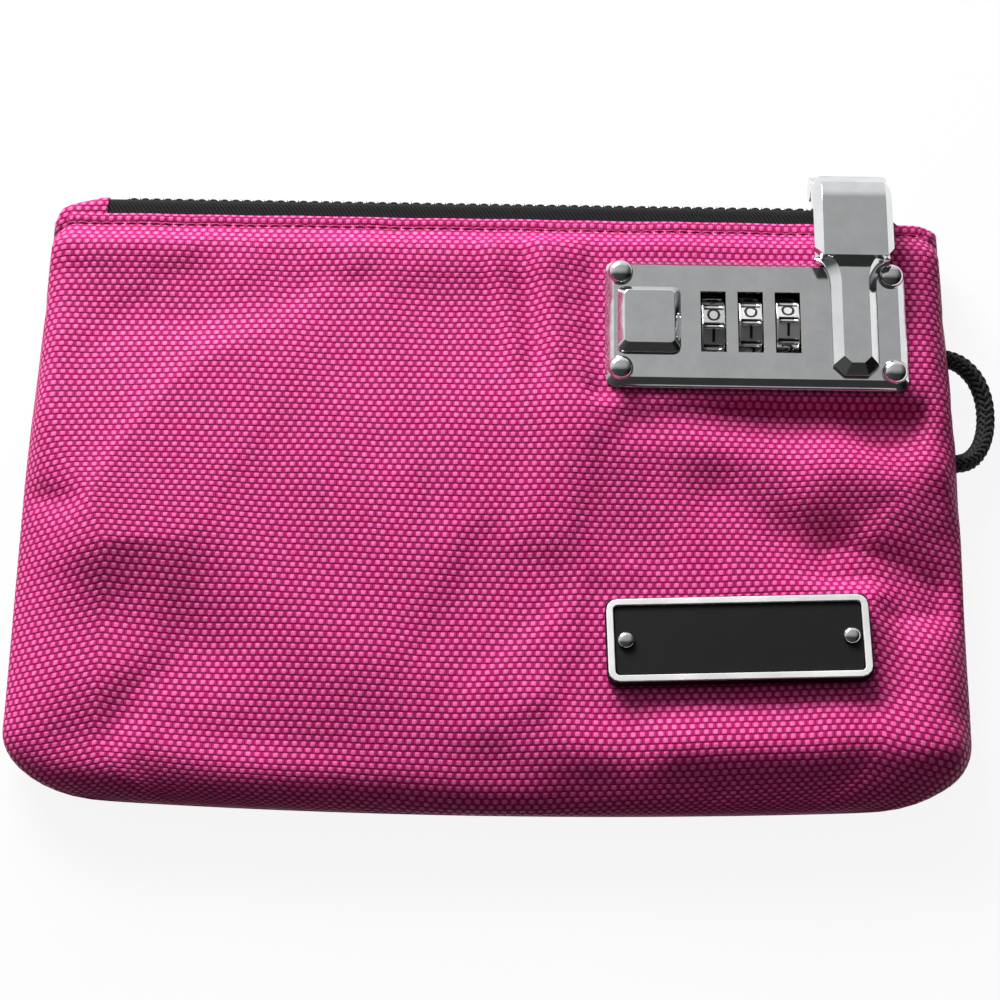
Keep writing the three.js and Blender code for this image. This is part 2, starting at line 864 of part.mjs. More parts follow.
function sliderLug() {
  const half = lugWidth / 2;
  const back = plateFace + sliderPlate;
  const reach = lugRadius * Math.cos(Math.PI / 6);
  const rise = lugRadius * Math.sin(Math.PI / 6);
  const web = [
    [plateFace + weldOverlap, -lugFoot],
    [back, -lugFoot],
    [pivotProud + reach, pivotRise - rise],
    [pivotProud - reach, pivotRise + rise],
    [plateFace + weldOverlap, sliderNoseHalf],
  ];
  return join(rodX(lugRadius, -half, half, pivotProud, pivotRise), alongX(web, -half, half));
}

function buildSlider(parent) {
  const slider = groupAt(parent, sliderX, zipFaceY, zipZ);
  const reach = lugWidth / 2 + cutOverrun;
  const pinHole = rodX(pinRadius + gap, -reach, reach, pivotProud, pivotRise);
  add(slider, 'zip_slider', cut(join(sliderBody(), sliderLug()), pinHole), chrome);
}

// Pull
function pullHead() {
  const profile = [
    [headUndercut - headLength, headUnder],
    [-barrelRadius, headUnder],
    [barrelRadius * Math.cos(Math.PI / 6), barrelRadius * Math.sin(Math.PI / 6)],
    [0, headRise - headRearDrop],
    [-headBandRear, headRise - headBandDrop],
    [-headPanelRear, headRise],
    [-headLength, headRise],
  ];
  const half = headWidth / 2;
  const run = (headWidth - headTopWidth) / 2;
  return alongX(profile, -half, half, run, headSideDrop);
}

function tongueOutline(inset, z) {
  const half = tongueHalfWidth - inset;
  const shoulder = neckHalfWidth - inset;
  const tip = inset - pullLength;
  const chamfer = tipChamfer - inset * (Math.SQRT2 - 1);
  const neck = quarterTurns(neckSteps).map((angle) => [
    shoulder - (neckHalfWidth - tongueHalfWidth) * Math.sin(angle),
    -neckStart - neckLength * (1 - Math.cos(angle)),
  ]);
  const right = [[shoulder, tongueOverlap - neckStart], ...neck];
  right.push([half, tip + chamfer], [half - chamfer, tip]);
  const left = right.map(([x, y]) => [-x, y]);
  return [...right.reverse(), ...left].map(([x, y]) => new THREE.Vector3(x, y, z));
}

function pullTongue(z) {
  return stack([
    tongueOutline(0, z),
    tongueOutline(0, z + tongueWall),
    tongueOutline(tongueBevel, z + tongueThickness),
  ]);
}

// The hook that drops through the plate, with its toe towards the latch
function pullHook(plateZ) {
  const half = hookShank / 2;
  const y = lockY + hookV - pivotY;
  const y0 = y - hookLength / 2;
  const y1 = y + hookLength / 2;
  const bottom = plateZ - hookDepth;
  const shank = box(-half, half, y0, y1, bottom, plateZ + gap + tongueWall);
  const toe = box(-half, half + toeReach, y0, y1, bottom, bottom + toeHeight);
  return join(shank, toe);
}

function buildPull(parent) {
  const pull = groupAt(parent, sliderX, pivotY, pivotZ);
  const plateZ = plateTopZ - pivotZ;
  const reach = barrelLength / 2;
  const barrel = rodX(barrelRadius, -reach, reach, 0, 0);
  const whole = join(pullHead(), barrel, pullTongue(plateZ + gap), pullHook(plateZ));
  const slotHalf = lugWidth / 2 + gap;
  const slot = box(-slotHalf, slotHalf, -slotFront, slotRear, -slotFront, slotFront);
  const pinHalf = pinLength / 2;
  const bore = rodX(pinRadius + gap, -pinHalf - gap, pinHalf + gap, 0, 0);
  add(pull, 'zip_pull', cut(whole, slot, bore), chrome);
  add(pull, 'pull_pin', rodX(pinRadius, -pinHalf, pinHalf, 0, 0), steel);
}

// A rivet with a domed head on z = 0 and a clinched end below its grip
function rivet({ headRadius, headHeight, shankRadius, grip, endRadius, endHeight }) {
  const end = -grip - endHeight;
  const dome = quarterTurns(domeSteps).map((angle) => {
    return [headRadius * Math.cos(angle), headHeight * Math.sin(angle)];
  });
  dome[domeSteps][0] = 0;
  const shank = [[0, end], [endRadius, end], [endRadius, -grip], [shankRadius, -grip], [shankRadius, 0]];
  return revolve([...shank, ...dome]);
}

// Lock plate, its rivets and the frame behind the cloth
function rivetPlaces() {
  const u = plateWidth / 2 - rivetInsetU;
  const v = plateHeight / 2 - rivetInsetV;
  return [[-u, v], [u, v], [-u, -v], [u, -v]];
}

function rivetHoles(low, high) {
  return rivetPlaces().map(([u, v]) => rodZ(rivetShankRadius + gap, low, high, u, v));
}

function plateOutline(inset, radius, w) {
  return roundedRectangle(plateWidth / 2 - inset, plateHeight / 2 - inset, radius, w);
}

function lockPlate() {
  const low = -plateRise - cutOverrun;
  const body = stack([
    plateOutline(0, plateCorner, -plateRise),
    plateOutline(0, plateCorner, plateEdge - plateRise),
    plateOutline(plateBevel, plateCorner - 1, 0),
  ]);
  const hollow = stack([
    plateOutline(plateSideWall, plateCorner - 1, -plateRise - weldOverlap),
    plateOutline(plateSideWall + plateInnerSlope, plateCorner - 1, -plateWall),
  ]);
  const windows = dialU.map((u) => {
    const half = windowWidth / 2;
    return box(u - half, u + half, -windowHeight / 2, windowHeight / 2, low, cutOverrun);
  });
  const stemRoom = stemWidth / 2 + gap;
  const stemSlot = box(
    stemU - stemRoom - latchTravel, stemU + stemRoom,
    buttonV - stemHeight / 2 - gap, buttonV + stemHeight / 2 + gap, low, cutOverrun,
  );
  const hookRoom = hookShank / 2 + toeReach + gap;
  const hookHole = box(
    hookU - hookShank / 2 - hookSwingRoom, hookU + hookRoom,
    hookV - hookLength / 2 - gap, hookV + hookLength / 2 + gap, low, cutOverrun,
  );
  return cut(body, hollow, ...windows, stemSlot, hookHole, ...rivetHoles(low, cutOverrun));
}

function backingFrame() {
  const low = backingBottom - cutOverrun;
  const high = backingTop + cutOverrun;
  const slab = stack([
    plateOutline(backingMargin, plateCorner, backingBottom),
    plateOutline(backingMargin, plateCorner, backingTop),
  ]);
  const hole = box(-holeHalfU, holeHalfU, -holeHalfV, holeHalfV, low, high);
  return cut(slab, hole, ...rivetHoles(low, high));
}

function addLockRivets(lock) {
  rivetPlaces().forEach(([u, v], k) => {
    const geometry = rivet({
      headRadius: rivetHeadRadius,
      headHeight: rivetHeadHeight,
      shankRadius: rivetShankRadius,
      grip: 2 * gap - backingBottom,
      endRadius: clinchRadius,
      endHeight: clinchHeight,
    });
    add(lock, `lock_rivet_${k + 1}`, geometry, chrome).position.set(u, v, gap);
  });
}

// Lock housing, with a bulkhead on each side of the dials
function lockHousing() {
  const walls = box(
    -housingHalfU, housingHalfU, -housingHalfV, housingHalfV, -housingDepth, housingTop,
  );
  const half = bulkheadWall / 2;
  const edges = [
    [-innerHalfU, leftBulkheadU - half],
    [leftBulkheadU + half, rightBulkheadU - half],
    [rightBulkheadU + half, innerHalfU],
  ];
  const above = housingTop + cutOverrun;
  const pockets = edges.map(([u0, u1]) => {
    return box(u0, u1, -innerHalfV, innerHalfV, housingFloorW, above);
  });
  const laneV = barV + barThickness / 2 + gap;
  const lane = box(-innerHalfU, innerHalfU, -innerHalfV, laneV, housingFloorW, above);
  const bore = rodX(
    shaftRadius + gap, leftBulkheadU - bulkheadWall, rightBulkheadU + bulkheadWall, 0, dialW,
  );
  return cut(walls, ...pockets, lane, bore);
}

// Dials
function dialShaft() {
  const reach = bulkheadWall / 2 + shaftOverhang;
  return rodX(shaftRadius, leftBulkheadU - reach, rightBulkheadU + reach, 0, dialW);
}

function dialWheel(u, turn) {
  const wheel = new THREE.CylinderGeometry(dialRadius, dialRadius, dialWidth, dialFaces)
    .rotateY(Math.PI / dialFaces)
    .rotateZ(Math.PI / 2)
    .rotateX(-THREE.MathUtils.degToRad(turn))
    .translate(u, 0, dialW);
  return cut(wheel, rodX(sleeveRadius + gap, u - dialWidth, u + dialWidth, 0, dialW));
}

function codeSleeve(u) {
  const start = u - dialWidth / 2 - sleeveOverhang;
  const discStart = u + dialPitch / 2 - codeDiscThickness / 2;
  const discEnd = discStart + codeDiscThickness;
  const tube = rodX(sleeveRadius, start, discEnd, 0, dialW);
  const disc = rodX(codeDiscRadius, discStart, discEnd, 0, dialW);
  const notchHalf = fenceHeight / 2 + notchClearance;
  const notch = box(
    discStart, discEnd + cutOverrun,
    -codeDiscRadius - cutOverrun, gap - fenceReach, dialW - notchHalf, dialW + notchHalf,
  );
  const bore = rodX(shaftRadius + gap, start - cutOverrun, discEnd + cutOverrun, 0, dialW);
  return cut(join(tube, disc), notch, bore);
}

// A leaf spring on the housing's wall, with a finger behind each dial
function detentSpring() {
  const wall = innerHalfV - gap;
  const low = housingFloorW + springClearance;
  const reach = dialRadius + springClearance;
  const shoulder = dialW + springContact + springClearance;
  const foot = box(
    leftBulkheadU + bulkheadWall, rightBulkheadU - bulkheadWall,
    wall - springThickness, wall, low, low + springFoot,
  );
  const profile = [
    [wall, low + springStep],
    [wall, low + springFoot],
    [reach + springThickness, shoulder],
    [reach, shoulder],
    [reach, shoulder - 2 * springContact],
    [wall - springThickness, low + springStep],
  ];
  const fingers = dialU.map((u) => alongX(profile, u - springFinger / 2, u + springFinger / 2));
  return join(foot, ...fingers);
}

// Release button, its screw and the latch bar that it carries
function releaseButton() {
  const base = [buttonWidth / 2, buttonHeight / 2, buttonCorner];
  const cap = stack([
    roundedRectangle(...base, gap),
    roundedRectangle(...base, gap + buttonSkirt),
    roundedRectangle(buttonTopWidth / 2, buttonTopHeight / 2, buttonTopCorner, gap + buttonRise),
  ]).translate(buttonU, buttonV, 0);
  const stem = box(
    stemU - stemWidth / 2, stemU + stemWidth / 2,
    buttonV - stemHeight / 2, buttonV + stemHeight / 2, -stemDepth, gap + buttonRise / 2,
  );
  const thread = rodZ(screwRadius + gap, -stemDepth - cutOverrun, screwTop + gap, stemU, buttonV);
  return cut(join(cap, stem), thread);
}

function buttonScrew() {
  const seat = padTop - padThickness - gap;
  const end = seat - screwHeadHeight;
  const profile = [
    [0, end], [screwHeadRadius, end], [screwHeadRadius, seat], [screwRadius, seat],
    [screwRadius, screwTop], [0, screwTop],
  ];
  return revolve(profile).translate(stemU, buttonV, 0);
}

function latchBar() {
  const v0 = barV - barThickness / 2;
  const v1 = barV + barThickness / 2;
  const noseLeft = hookU + hookShank / 2 + toeReach + noseClearance;
  const barRight = noseLeft + noseWidth;
  const strip = box(barLeftU, barRight, v0, v1, barTop - barHeight, barTop);
  const riser = box(noseLeft, barRight, v0, v1, barTop - barHeight, housingTop);
  const nose = box(
    noseLeft, barRight, v0, hookV + hookLength / 2, housingTop - noseHeight, housingTop,
  );
  const pad = box(
    barLeftU, stemU + stemWidth / 2, v0, buttonV + padReach, padTop - padThickness, padTop,
  );
  const fences = dialU.map((u) => {
    const middle = u + dialPitch / 2 + latchTravel / 2;
    const half = fenceThickness / 2;
    return box(
      middle - half, middle + half, v0, -fenceReach,
      dialW - fenceHeight / 2, dialW + fenceHeight / 2,
    );
  });
  const screwHole = rodZ(screwRadius + gap, padTop - padThickness - gap, padTop + gap, stemU, buttonV);
  return cut(join(strip, riser, nose, pad, ...fences), screwHole);
}

function buildLock(parent) {
  const lock = groupAt(parent, lockX, lockY, plateTopZ);
  add(lock, 'lock_plate', lockPlate(), chrome);
  add(lock, 'lock_housing', lockHousing(), dieCast);
  add(lock, 'lock_backing_frame', backingFrame(), steel);
  addLockRivets(lock);
  add(lock, 'dial_shaft', dialShaft(), steel);
  add(lock, 'detent_spring', detentSpring(), steel);
  dialU.forEach((u, k) => {
    add(lock, `dial_wheel_${k + 1}`, dialWheel(u, dialTurns[k]), chrome);
    add(lock, `code_sleeve_${k + 1}`, codeSleeve(u), brass);
  });
  add(lock, 'release_button', releaseButton(), chrome);
  add(lock, 'latch_bar', latchBar(), steel);
  add(lock, 'button_screw', buttonScrew(), steel);
}

// Label
function labelRivetPlaces() {
  const turn = THREE.MathUtils.degToRad(labelTurn);
  return [-labelRivetAlong, labelRivetAlong].map((along) => {
    return [labelX + along * Math.cos(turn), labelY + along * Math.sin(turn)];
  });
}

function labelBlock(inset, radius, low, high) {
  const half = [labelWidth / 2 - inset, labelHeight / 2 - inset, radius];
  return stack([roundedRectangle(...half, low), roundedRectangle(...half, high)]);
}

function labelPlate() {
  const low = labelThickness - rimDepth - gap;
  const inner = labelCorner - rimWidth;
  const groove = cut(
    labelBlock(rimEdge, labelCorner, low, labelThickness + cutOverrun),
    labelBlock(rimWidth + 2 * gap, inner, low - cutOverrun, labelThickness + 2 * cutOverrun),
  );
  const holes = [-labelRivetAlong, labelRivetAlong].map((along) => {
    const top = labelThickness + cutOverrun;
    return rodZ(labelShankRadius + gap, -cutOverrun, top, along, 0, smallHoleSides);
  });
  return cut(labelBlock(0, labelCorner, 0, labelThickness), groove, ...holes);
}

function labelRim() {
  const low = labelThickness - rimDepth;
  const high = labelThickness + rimRise;
  const inner = labelCorner - rimWidth;
  return cut(
    labelBlock(gap, labelCorner, low, high),
    labelBlock(gap + rimWidth, inner, low - cutOverrun, high + cutOverrun),
  );
}

function buildLabel(parent) {
  const label = groupAt(parent, labelX, labelY, fullness + gap);
  label.rotation.z = THREE.MathUtils.degToRad(labelTurn);
  add(label, 'label_plate', labelPlate(), rubber);
  add(label, 'label_rim', labelRim(), whiteRubber);
  [-labelRivetAlong, labelRivetAlong].forEach((along, k) => {
    const geometry = rivet({
      headRadius: labelRivetRadius,
      headHeight: labelRivetHeight,
      shankRadius: labelShankRadius,
      grip: labelThickness + clothThickness + 3 * gap,
      endRadius: labelRivetRadius,
      endHeight: labelClinchHeight,
    });
    add(label, `label_rivet_${k + 1}`, geometry, chrome).position.set(along, 0, labelThickness + gap);
  });
}

// Cord loop
function buildCord(parent) {
  const cord = groupAt(parent, halfWidth(cordOutY), 0, 0);
  const route = new THREE.CatmullRomCurve3(cordRoute.map((point) => new THREE.Vector3(...point)));
  const section = new THREE.Shape(evenly(0, 2 * Math.PI, cordSides).slice(0, -1).map((angle) => {
    return new THREE.Vector2(cordRadius * Math.cos(angle), cordRadius * Math.sin(angle));
  }));
  const loop = new THREE.ExtrudeGeometry(section, { steps: cordSteps, extrudePath: route });
  add(cord, 'cord_loop', loop, cordBlack);
}
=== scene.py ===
from math import cos, pi, radians, sin, sqrt

import bpy
import numpy as np
from mathutils import Matrix, Vector


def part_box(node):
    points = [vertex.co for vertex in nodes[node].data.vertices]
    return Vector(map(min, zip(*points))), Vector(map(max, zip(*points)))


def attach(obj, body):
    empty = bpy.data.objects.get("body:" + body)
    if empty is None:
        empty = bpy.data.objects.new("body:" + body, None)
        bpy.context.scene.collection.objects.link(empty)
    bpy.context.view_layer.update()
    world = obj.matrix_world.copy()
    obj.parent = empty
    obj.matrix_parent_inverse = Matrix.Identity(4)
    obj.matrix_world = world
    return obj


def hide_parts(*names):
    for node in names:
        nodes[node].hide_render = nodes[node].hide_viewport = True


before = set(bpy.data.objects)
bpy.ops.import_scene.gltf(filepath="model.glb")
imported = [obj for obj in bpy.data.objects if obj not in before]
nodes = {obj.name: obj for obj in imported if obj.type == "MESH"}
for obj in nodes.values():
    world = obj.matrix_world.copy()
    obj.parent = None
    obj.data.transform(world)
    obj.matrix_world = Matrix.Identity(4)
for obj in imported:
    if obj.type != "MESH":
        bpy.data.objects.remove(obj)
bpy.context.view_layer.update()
scene = bpy.context.scene

# Sizes in millimetres, the same as the CAD model's
MM = 0.001
TOP_HALF, BOTTOM_HALF = 108.0, 110.0
HEM_Y, POUCH_HEIGHT = 69.6, 144.5
BOTTOM_Y = HEM_Y - POUCH_HEIGHT
CORNER_RUN, CORNER_RISE, BOTTOM_BOW = 24.0, 15.0, 3.4
CLOTH, SEAM_Z, GAP = 1.0, 6.5, 0.3
HEM_Z, HEM_FLAT, HEM_BLEND, FULLNESS = 16.2, 8.5, 9.0, 15.4
LOCK_X, LOCK_Y, LOCK_Z, LOCK_BLEND = 62.0, 41.2, 17.7, 38.0
PLATE_W, PLATE_H = 71.4, 32.9
LABEL_X, LABEL_Y, LABEL_W, LABEL_H = 56.5, -36.0, 60.0, 20.0
ROUND_TOP, ROUND_BOTTOM, ROUND_BLEND, BOTTOM_ROUND = 7.0, 22.0, 40.0, 13.0
REAR_SIDE_ROUND, REAR_BOTTOM_ROUND = 10.0, 8.0
CORD_RADIUS = 2.3

# The front cloth turns down this many millimetres earlier than its solid
EARLIER_TURN = 4

# How far the CAD model is moved along Y, to put the origin under the pouch's middle
SHIFT_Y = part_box("front_panel")[1].y / MM - HEM_Y

# Camera: metres, except the lens and its sensor in millimetres
CAMERA_TILT, CAMERA_ROLL, CAMERA_DISTANCE = radians(20), radians(0.9), 0.555
CAMERA_LENS, CAMERA_SENSOR = 85.07, 36
CAMERA_AIM = (0.0021, SHIFT_Y * MM, 0.008)


# Camera at the photograph's angle
def make_camera():
    back = Vector((0, -sin(CAMERA_TILT), cos(CAMERA_TILT)))
    right = Vector((1, 0, 0))
    up = back.cross(right)
    turned_right = cos(CAMERA_ROLL) * right + sin(CAMERA_ROLL) * up
    turned_up = -sin(CAMERA_ROLL) * right + cos(CAMERA_ROLL) * up
    data = bpy.data.cameras.new("camera")
    data.lens, data.sensor_width = CAMERA_LENS, CAMERA_SENSOR
    camera = bpy.data.objects.new("camera", data)
    scene.collection.objects.link(camera)
    turn = Matrix((turned_right, turned_up, back)).transposed().to_4x4()
    camera.matrix_world = Matrix.Translation(Vector(CAMERA_AIM) + back * CAMERA_DISTANCE) @ turn
    scene.camera = camera


make_camera()


# Mesh helpers: points are given in millimetres
def mesh_object(name, points, faces, material, uv=None, shade_smooth=True):
    mesh = bpy.data.meshes.new(name)
    points = np.asarray(points, float)
    mesh.from_pydata((points * MM).tolist(), [], [list(map(int, f)) for f in faces])
    if uv is not None:
        layer = mesh.uv_layers.new(name="UVMap")
        corners = np.zeros(len(mesh.loops), int)
        mesh.loops.foreach_get("vertex_index", corners)
        layer.data.foreach_set("uv", np.asarray(uv, float)[corners].ravel())
    if shade_smooth:
        mesh.polygons.foreach_set("use_smooth", np.ones(len(mesh.polygons), bool))
    mesh.materials.append(material)
    mesh.update()
    obj = bpy.data.objects.new(name, mesh)
    scene.collection.objects.link(obj)
    return obj


def grid_faces(rows, columns, keep=None, closed=False):
    faces = []
    across = columns if closed else columns - 1
    for i in range(rows - 1):
        for j in range(across):
            if keep is None or keep[i, j]:
                k = (j + 1) % columns
                faces.append((i * columns + j, (i + 1) * columns + j,
                              (i + 1) * columns + k, i * columns + k))
    return faces


def smooth(t):
    """A soft step from 0 to 1 as t goes from 0 to 1."""
    t = np.clip(t, 0, 1)
    return t * t * (3 - 2 * t)


def tube(path, radius, sides):
    """A round tube with closed ends along a path: its points and its faces."""
    path = np.asarray(path, float)
    along = np.gradient(path, axis=0)
    along /= np.linalg.norm(along, axis=1)[:, None]
    normal = np.cross(along[0], (0.31, 0.17, 0.93))
    radius = np.broadcast_to(radius, (len(path),))
    rings = []
    for centre, t, r in zip(path, along, radius):
        normal = normal - t * normal.dot(t)
        normal /= np.linalg.norm(normal)
        other = np.cross(t, normal)
        turns = np.arange(sides) * 2 * pi / sides
        around = np.cos(turns)[:, None] * normal + np.sin(turns)[:, None] * other
        rings.append(centre + r * around)
    points = np.concatenate(rings)
    faces = [tuple(reversed(f)) for f in grid_faces(len(path), sides, closed=True)]
    faces += [tuple(range(sides)), tuple(reversed(range(len(points) - sides, len(points))))]
    return points, faces


def merged(parts):
    """Several (points, faces) as one."""
    points, faces, base = [], [], 0
    for part_points, part_faces in parts:
        points.append(part_points)
        faces += [tuple(base + i for i in face) for face in part_faces]
        base += len(part_points)
    return np.concatenate(points), faces


# Materials
class Shader:
    """A material with one Principled shader, and short ways to add nodes to it."""

    def __init__(self, name, colour, roughness, metallic=0.0, **sockets):
        self.material = bpy.data.materials.new(name)
        self.material.use_nodes = True
        self.tree = self.material.node_tree
        self.shader = self.tree.nodes["Principled BSDF"]
        self.set(self.shader, "Base Color", self.rgba(colour))
        self.set(self.shader, "Roughness", roughness)
        self.set(self.shader, "Metallic", metallic)
        for key, value in sockets.items():
            self.set(self.shader, key.replace("_", " "), value)

    def set(self, node, key, value):
        if isinstance(value, bpy.types.NodeSocket):
            self.tree.links.new(value, node.inputs[key])
        else:
            node.inputs[key].default_value = value

    def node(self, kind, output=0, inputs=(), **settings):
        node = self.tree.nodes.new(kind)
        for key, value in settings.items():
            setattr(node, key, value)
        for key, value in dict(inputs).items():
            self.set(node, key, value)
        return node.outputs[output]

    def math(self, operation, *values):
        return self.node("ShaderNodeMath", inputs=enumerate(values), operation=operation)

    def noise(self, vector, scale, detail=2.0, roughness=0.5):
        inputs = {"Vector": vector, "Scale": scale, "Detail": detail, "Roughness": roughness}
        return self.node("ShaderNodeTexNoise", inputs=inputs)

    def mix(self, share, a, b):
        inputs = {0: share, 6: self.rgba(a), 7: self.rgba(b)}
        return self.node("ShaderNodeMix", 2, inputs, data_type="RGBA")

    def rgba(self, colour):
        return (*colour, 1) if isinstance(colour, tuple) else colour

    def span(self, value, low, high, to_low, to_high):
        inputs = enumerate((value, low, high, to_low, to_high))
        return self.node("ShaderNodeMapRange", inputs=inputs)

    def bump(self, height, distance, strength=1.0):
        inputs = {"Height": height, "Distance": distance, "Strength": strength}
        return self.node("ShaderNodeBump", inputs=inputs)

    def place(self):
        """Object coordinates, in metres."""
        return self.node("ShaderNodeTexCoord", 3)

    def parts(self, vector):
        node = self.tree.nodes.new("ShaderNodeSeparateXYZ")
        self.set(node, 0, vector)
        return node.outputs

    def scaled(self, vector, *scale):
        inputs = {0: vector, 1: scale}
        return self.node("ShaderNodeVectorMath", inputs=inputs, operation="MULTIPLY")


# The weave: its repeat and half the size of each raised float in millimetres, how square and
# how flat the floats are, how high the ribs between them lie, and the depth of it all
REPEAT_U, REPEAT_V, FLOAT_U, FLOAT_V = 2.04, 2.92, 0.69, 0.70
FLOAT_SQUARE, FLOAT_FLAT = 4.0, 0.6
RIB_LOW, RIB_RISE = 0.22, 0.27
WEAVE_DEPTH = 0.4


def weave_material(name, dark, middle, light):
    """A coarse basket weave laid out on the UV map, which holds millimetres."""
    s = Shader(name, middle, 0.5, Specular_IOR_Level=0.18)
    s.set(s.shader, "Specular Tint", (1, 0.55, 0.85, 1))
    uv = s.node("ShaderNodeUVMap", uv_map="UVMap")
    x, y, _ = s.parts(uv)

    def drifted(value, repeat, scale, amount):
        wander = s.noise(s.scaled(uv, *scale), 1.0, 2.0)
        drift = s.math("MULTIPLY", s.math("SUBTRACT", wander, 0.5), amount)
        return s.math("ADD", s.math("DIVIDE", value, repeat), drift)

    u = drifted(x, REPEAT_U, (0.04, 0.10, 0), 0.4)
    v = drifted(y, REPEAT_V, (0.05, 0.04, 1), 0.3)

    def floats(shift):
        def across(value, repeat, half):
            off = s.math("SUBTRACT", s.math("FRACT", s.math("ADD", value, shift)), 0.5)
            off = s.math("MULTIPLY", s.math("ABSOLUTE", off), repeat / half)
            return s.math("POWER", off, FLOAT_SQUARE)
        both = s.math("ADD", across(u, REPEAT_U, FLOAT_U), across(v, REPEAT_V, FLOAT_V))
        return s.math("POWER", s.math("MAXIMUM", s.math("SUBTRACT", 1.0, both), 0.0), FLOAT_FLAT)

    ribs = s.math("ABSOLUTE", s.math("SINE", s.math("MULTIPLY", u, 4 * pi)))
    rows = s.math("ABSOLUTE", s.math("COSINE", s.math("MULTIPLY", v, 2 * pi)))
    ribs = s.math("MULTIPLY", s.math("POWER", ribs, 0.8), s.math("POWER", rows, 0.35))
    ribs = s.math("MULTIPLY_ADD", ribs, RIB_RISE, RIB_LOW)
    over = s.math("MAXIMUM", floats(0.0), floats(0.5))
    fibre = s.noise(s.scaled(uv, 2.6, 11, 0), 1.0, 3.0)
    height = s.math("MULTIPLY_ADD", fibre, 0.16, s.math("MAXIMUM", over, ribs))
    uneven = s.span(s.noise(s.scaled(uv, 0.5, 0.45, 0), 1.0, 2.0), 0.3, 0.7, 0.55, 1.0)
    # Painted shade: the colour darkens where the weave lies low, in the gaps between and around the
    # floats
    shade = s.mix(s.span(height, 0.2, 0.62, 0, 1), dark, middle)
    # Painted highlight: the float tops turn lighter, more in some places than in others
    lit = s.math("MULTIPLY", s.span(height, 0.5, 1.0, 0, 1), uneven)
    shade = s.mix(lit, shade, light)
    # Large random patches, darker by up to a tenth
    fade = s.span(s.noise(s.scaled(uv, 0.03, 0.03, 0), 1.0, 3.0), 0.3, 0.7, 0.0, 0.1)
    shade = s.mix(fade, shade, dark)
    s.set(s.shader, "Base Color", shade)
    s.set(s.shader, "Roughness", s.span(height, 0.2, 1.1, 0.7, 0.36))
    s.set(s.shader, "Normal", s.bump(height, WEAVE_DEPTH * MM))
    return s.material


# The tape's twill, in millimetres: the pitch of its ribs along and across the tape, and their depth
TWILL_ALONG, TWILL_ACROSS, TWILL_DEPTH = 0.95, 1.5, 0.2


def twill_material(name, side):
    """Black zip tape: diagonal ribs that follow the tape over its rounded nose."""
    s = Shader(name, (0.012, 0.012, 0.014), 0.8, Specular_IOR_Level=0.18)
    x, y, z = s.parts(s.place())
    along = s.math("MULTIPLY", x, 1 / (TWILL_ALONG * MM))
    round_nose = s.math("MULTIPLY_ADD", z, -side, y)
    across = s.math("MULTIPLY", round_nose, 1 / (TWILL_ACROSS * MM))
    ribs = s.math("SINE", s.math("MULTIPLY", s.math("ADD", along, across), 2 * pi))
    steps = s.math("SINE", s.math("MULTIPLY", s.math("SUBTRACT", along, across), 6 * pi))
    height = s.math("MULTIPLY_ADD", steps, 0.16, s.math("MULTIPLY", ribs, 0.5))
    height = s.math("MULTIPLY_ADD", s.noise(s.place(), 2600.0, 2.0), 0.4, height)
    # Painted shade and highlight: darker in the hollows between the ribs and lighter on their
    # crests, with random flecks from the noise
    tone = s.mix(s.span(height, -0.4, 0.7, 0, 1), (0.003, 0.003, 0.003), (0.022, 0.022, 0.024))
    s.set(s.shader, "Base Color", tone)
    s.set(s.shader, "Normal", s.bump(height, TWILL_DEPTH * MM))
    return s.material


def fibre_material(name, dark, light, scale, sheen=0.3):
    """Spun thread or braid: fine fibre noise in colour and height."""
    s = Shader(name, light, 0.7, Sheen_Weight=sheen, Sheen_Roughness=0.4)
    fibres = s.noise(s.place(), scale, 4.0, 0.65)
    s.set(s.shader, "Base Color", s.mix(s.span(fibres, 0.3, 0.7, 0, 1), dark, light))
    s.set(s.shader, "Roughness", s.span(fibres, 0.3, 0.7, 0.85, 0.6))
    s.set(s.shader, "Normal", s.bump(fibres, 0.05 * MM, 0.7))
    return s.material


def metal_material(name, colour, rough_low, rough_high, ripple=0.02, metallic=1.0):
    """Polished or cast metal: uneven gloss and tone, faint ripples and fine marks."""
    s = Shader(name, colour, rough_low, metallic)
    place = s.place()
    cloud = s.noise(place, 180.0, 4.0, 0.6)
    fine = s.noise(place, 2400.0, 2.0, 0.5)
    marks = s.span(s.noise(s.scaled(place, 1.0, 9.0, 1.0), 900.0, 3.0), 0.62, 0.75, 0, 1)
    rough = s.span(cloud, 0.3, 0.7, rough_low, rough_high)
    s.set(s.shader, "Roughness", s.math("MULTIPLY_ADD", marks, 0.05, rough))
    tone = tuple(c * 0.9 for c in colour)
    s.set(s.shader, "Base Color", s.mix(s.span(cloud, 0.35, 0.65, 0, 1), colour, tone))
    height = s.math("MULTIPLY_ADD", fine, 0.12, cloud)
    s.set(s.shader, "Normal", s.bump(height, ripple * MM))
    return s.material


def rubber_material(name, colour, roughness):
    """Moulded rubber: a fine grain and a faint cloud in its tone."""
    s = Shader(name, colour, roughness, Specular_IOR_Level=0.25)
    place = s.place()
    grain = s.noise(place, 1500.0, 4.0, 0.6)
    cloud = s.noise(place, 90.0, 3.0)
    tone = tuple(c * 0.82 for c in colour)
    s.set(s.shader, "Base Color", s.mix(s.span(cloud, 0.35, 0.65, 0, 1), colour, tone))
    s.set(s.shader, "Roughness", s.span(grain, 0.35, 0.65, roughness - 0.06, roughness + 0.1))
    s.set(s.shader, "Normal", s.bump(grain, 0.04 * MM, 0.8))
    return s.material
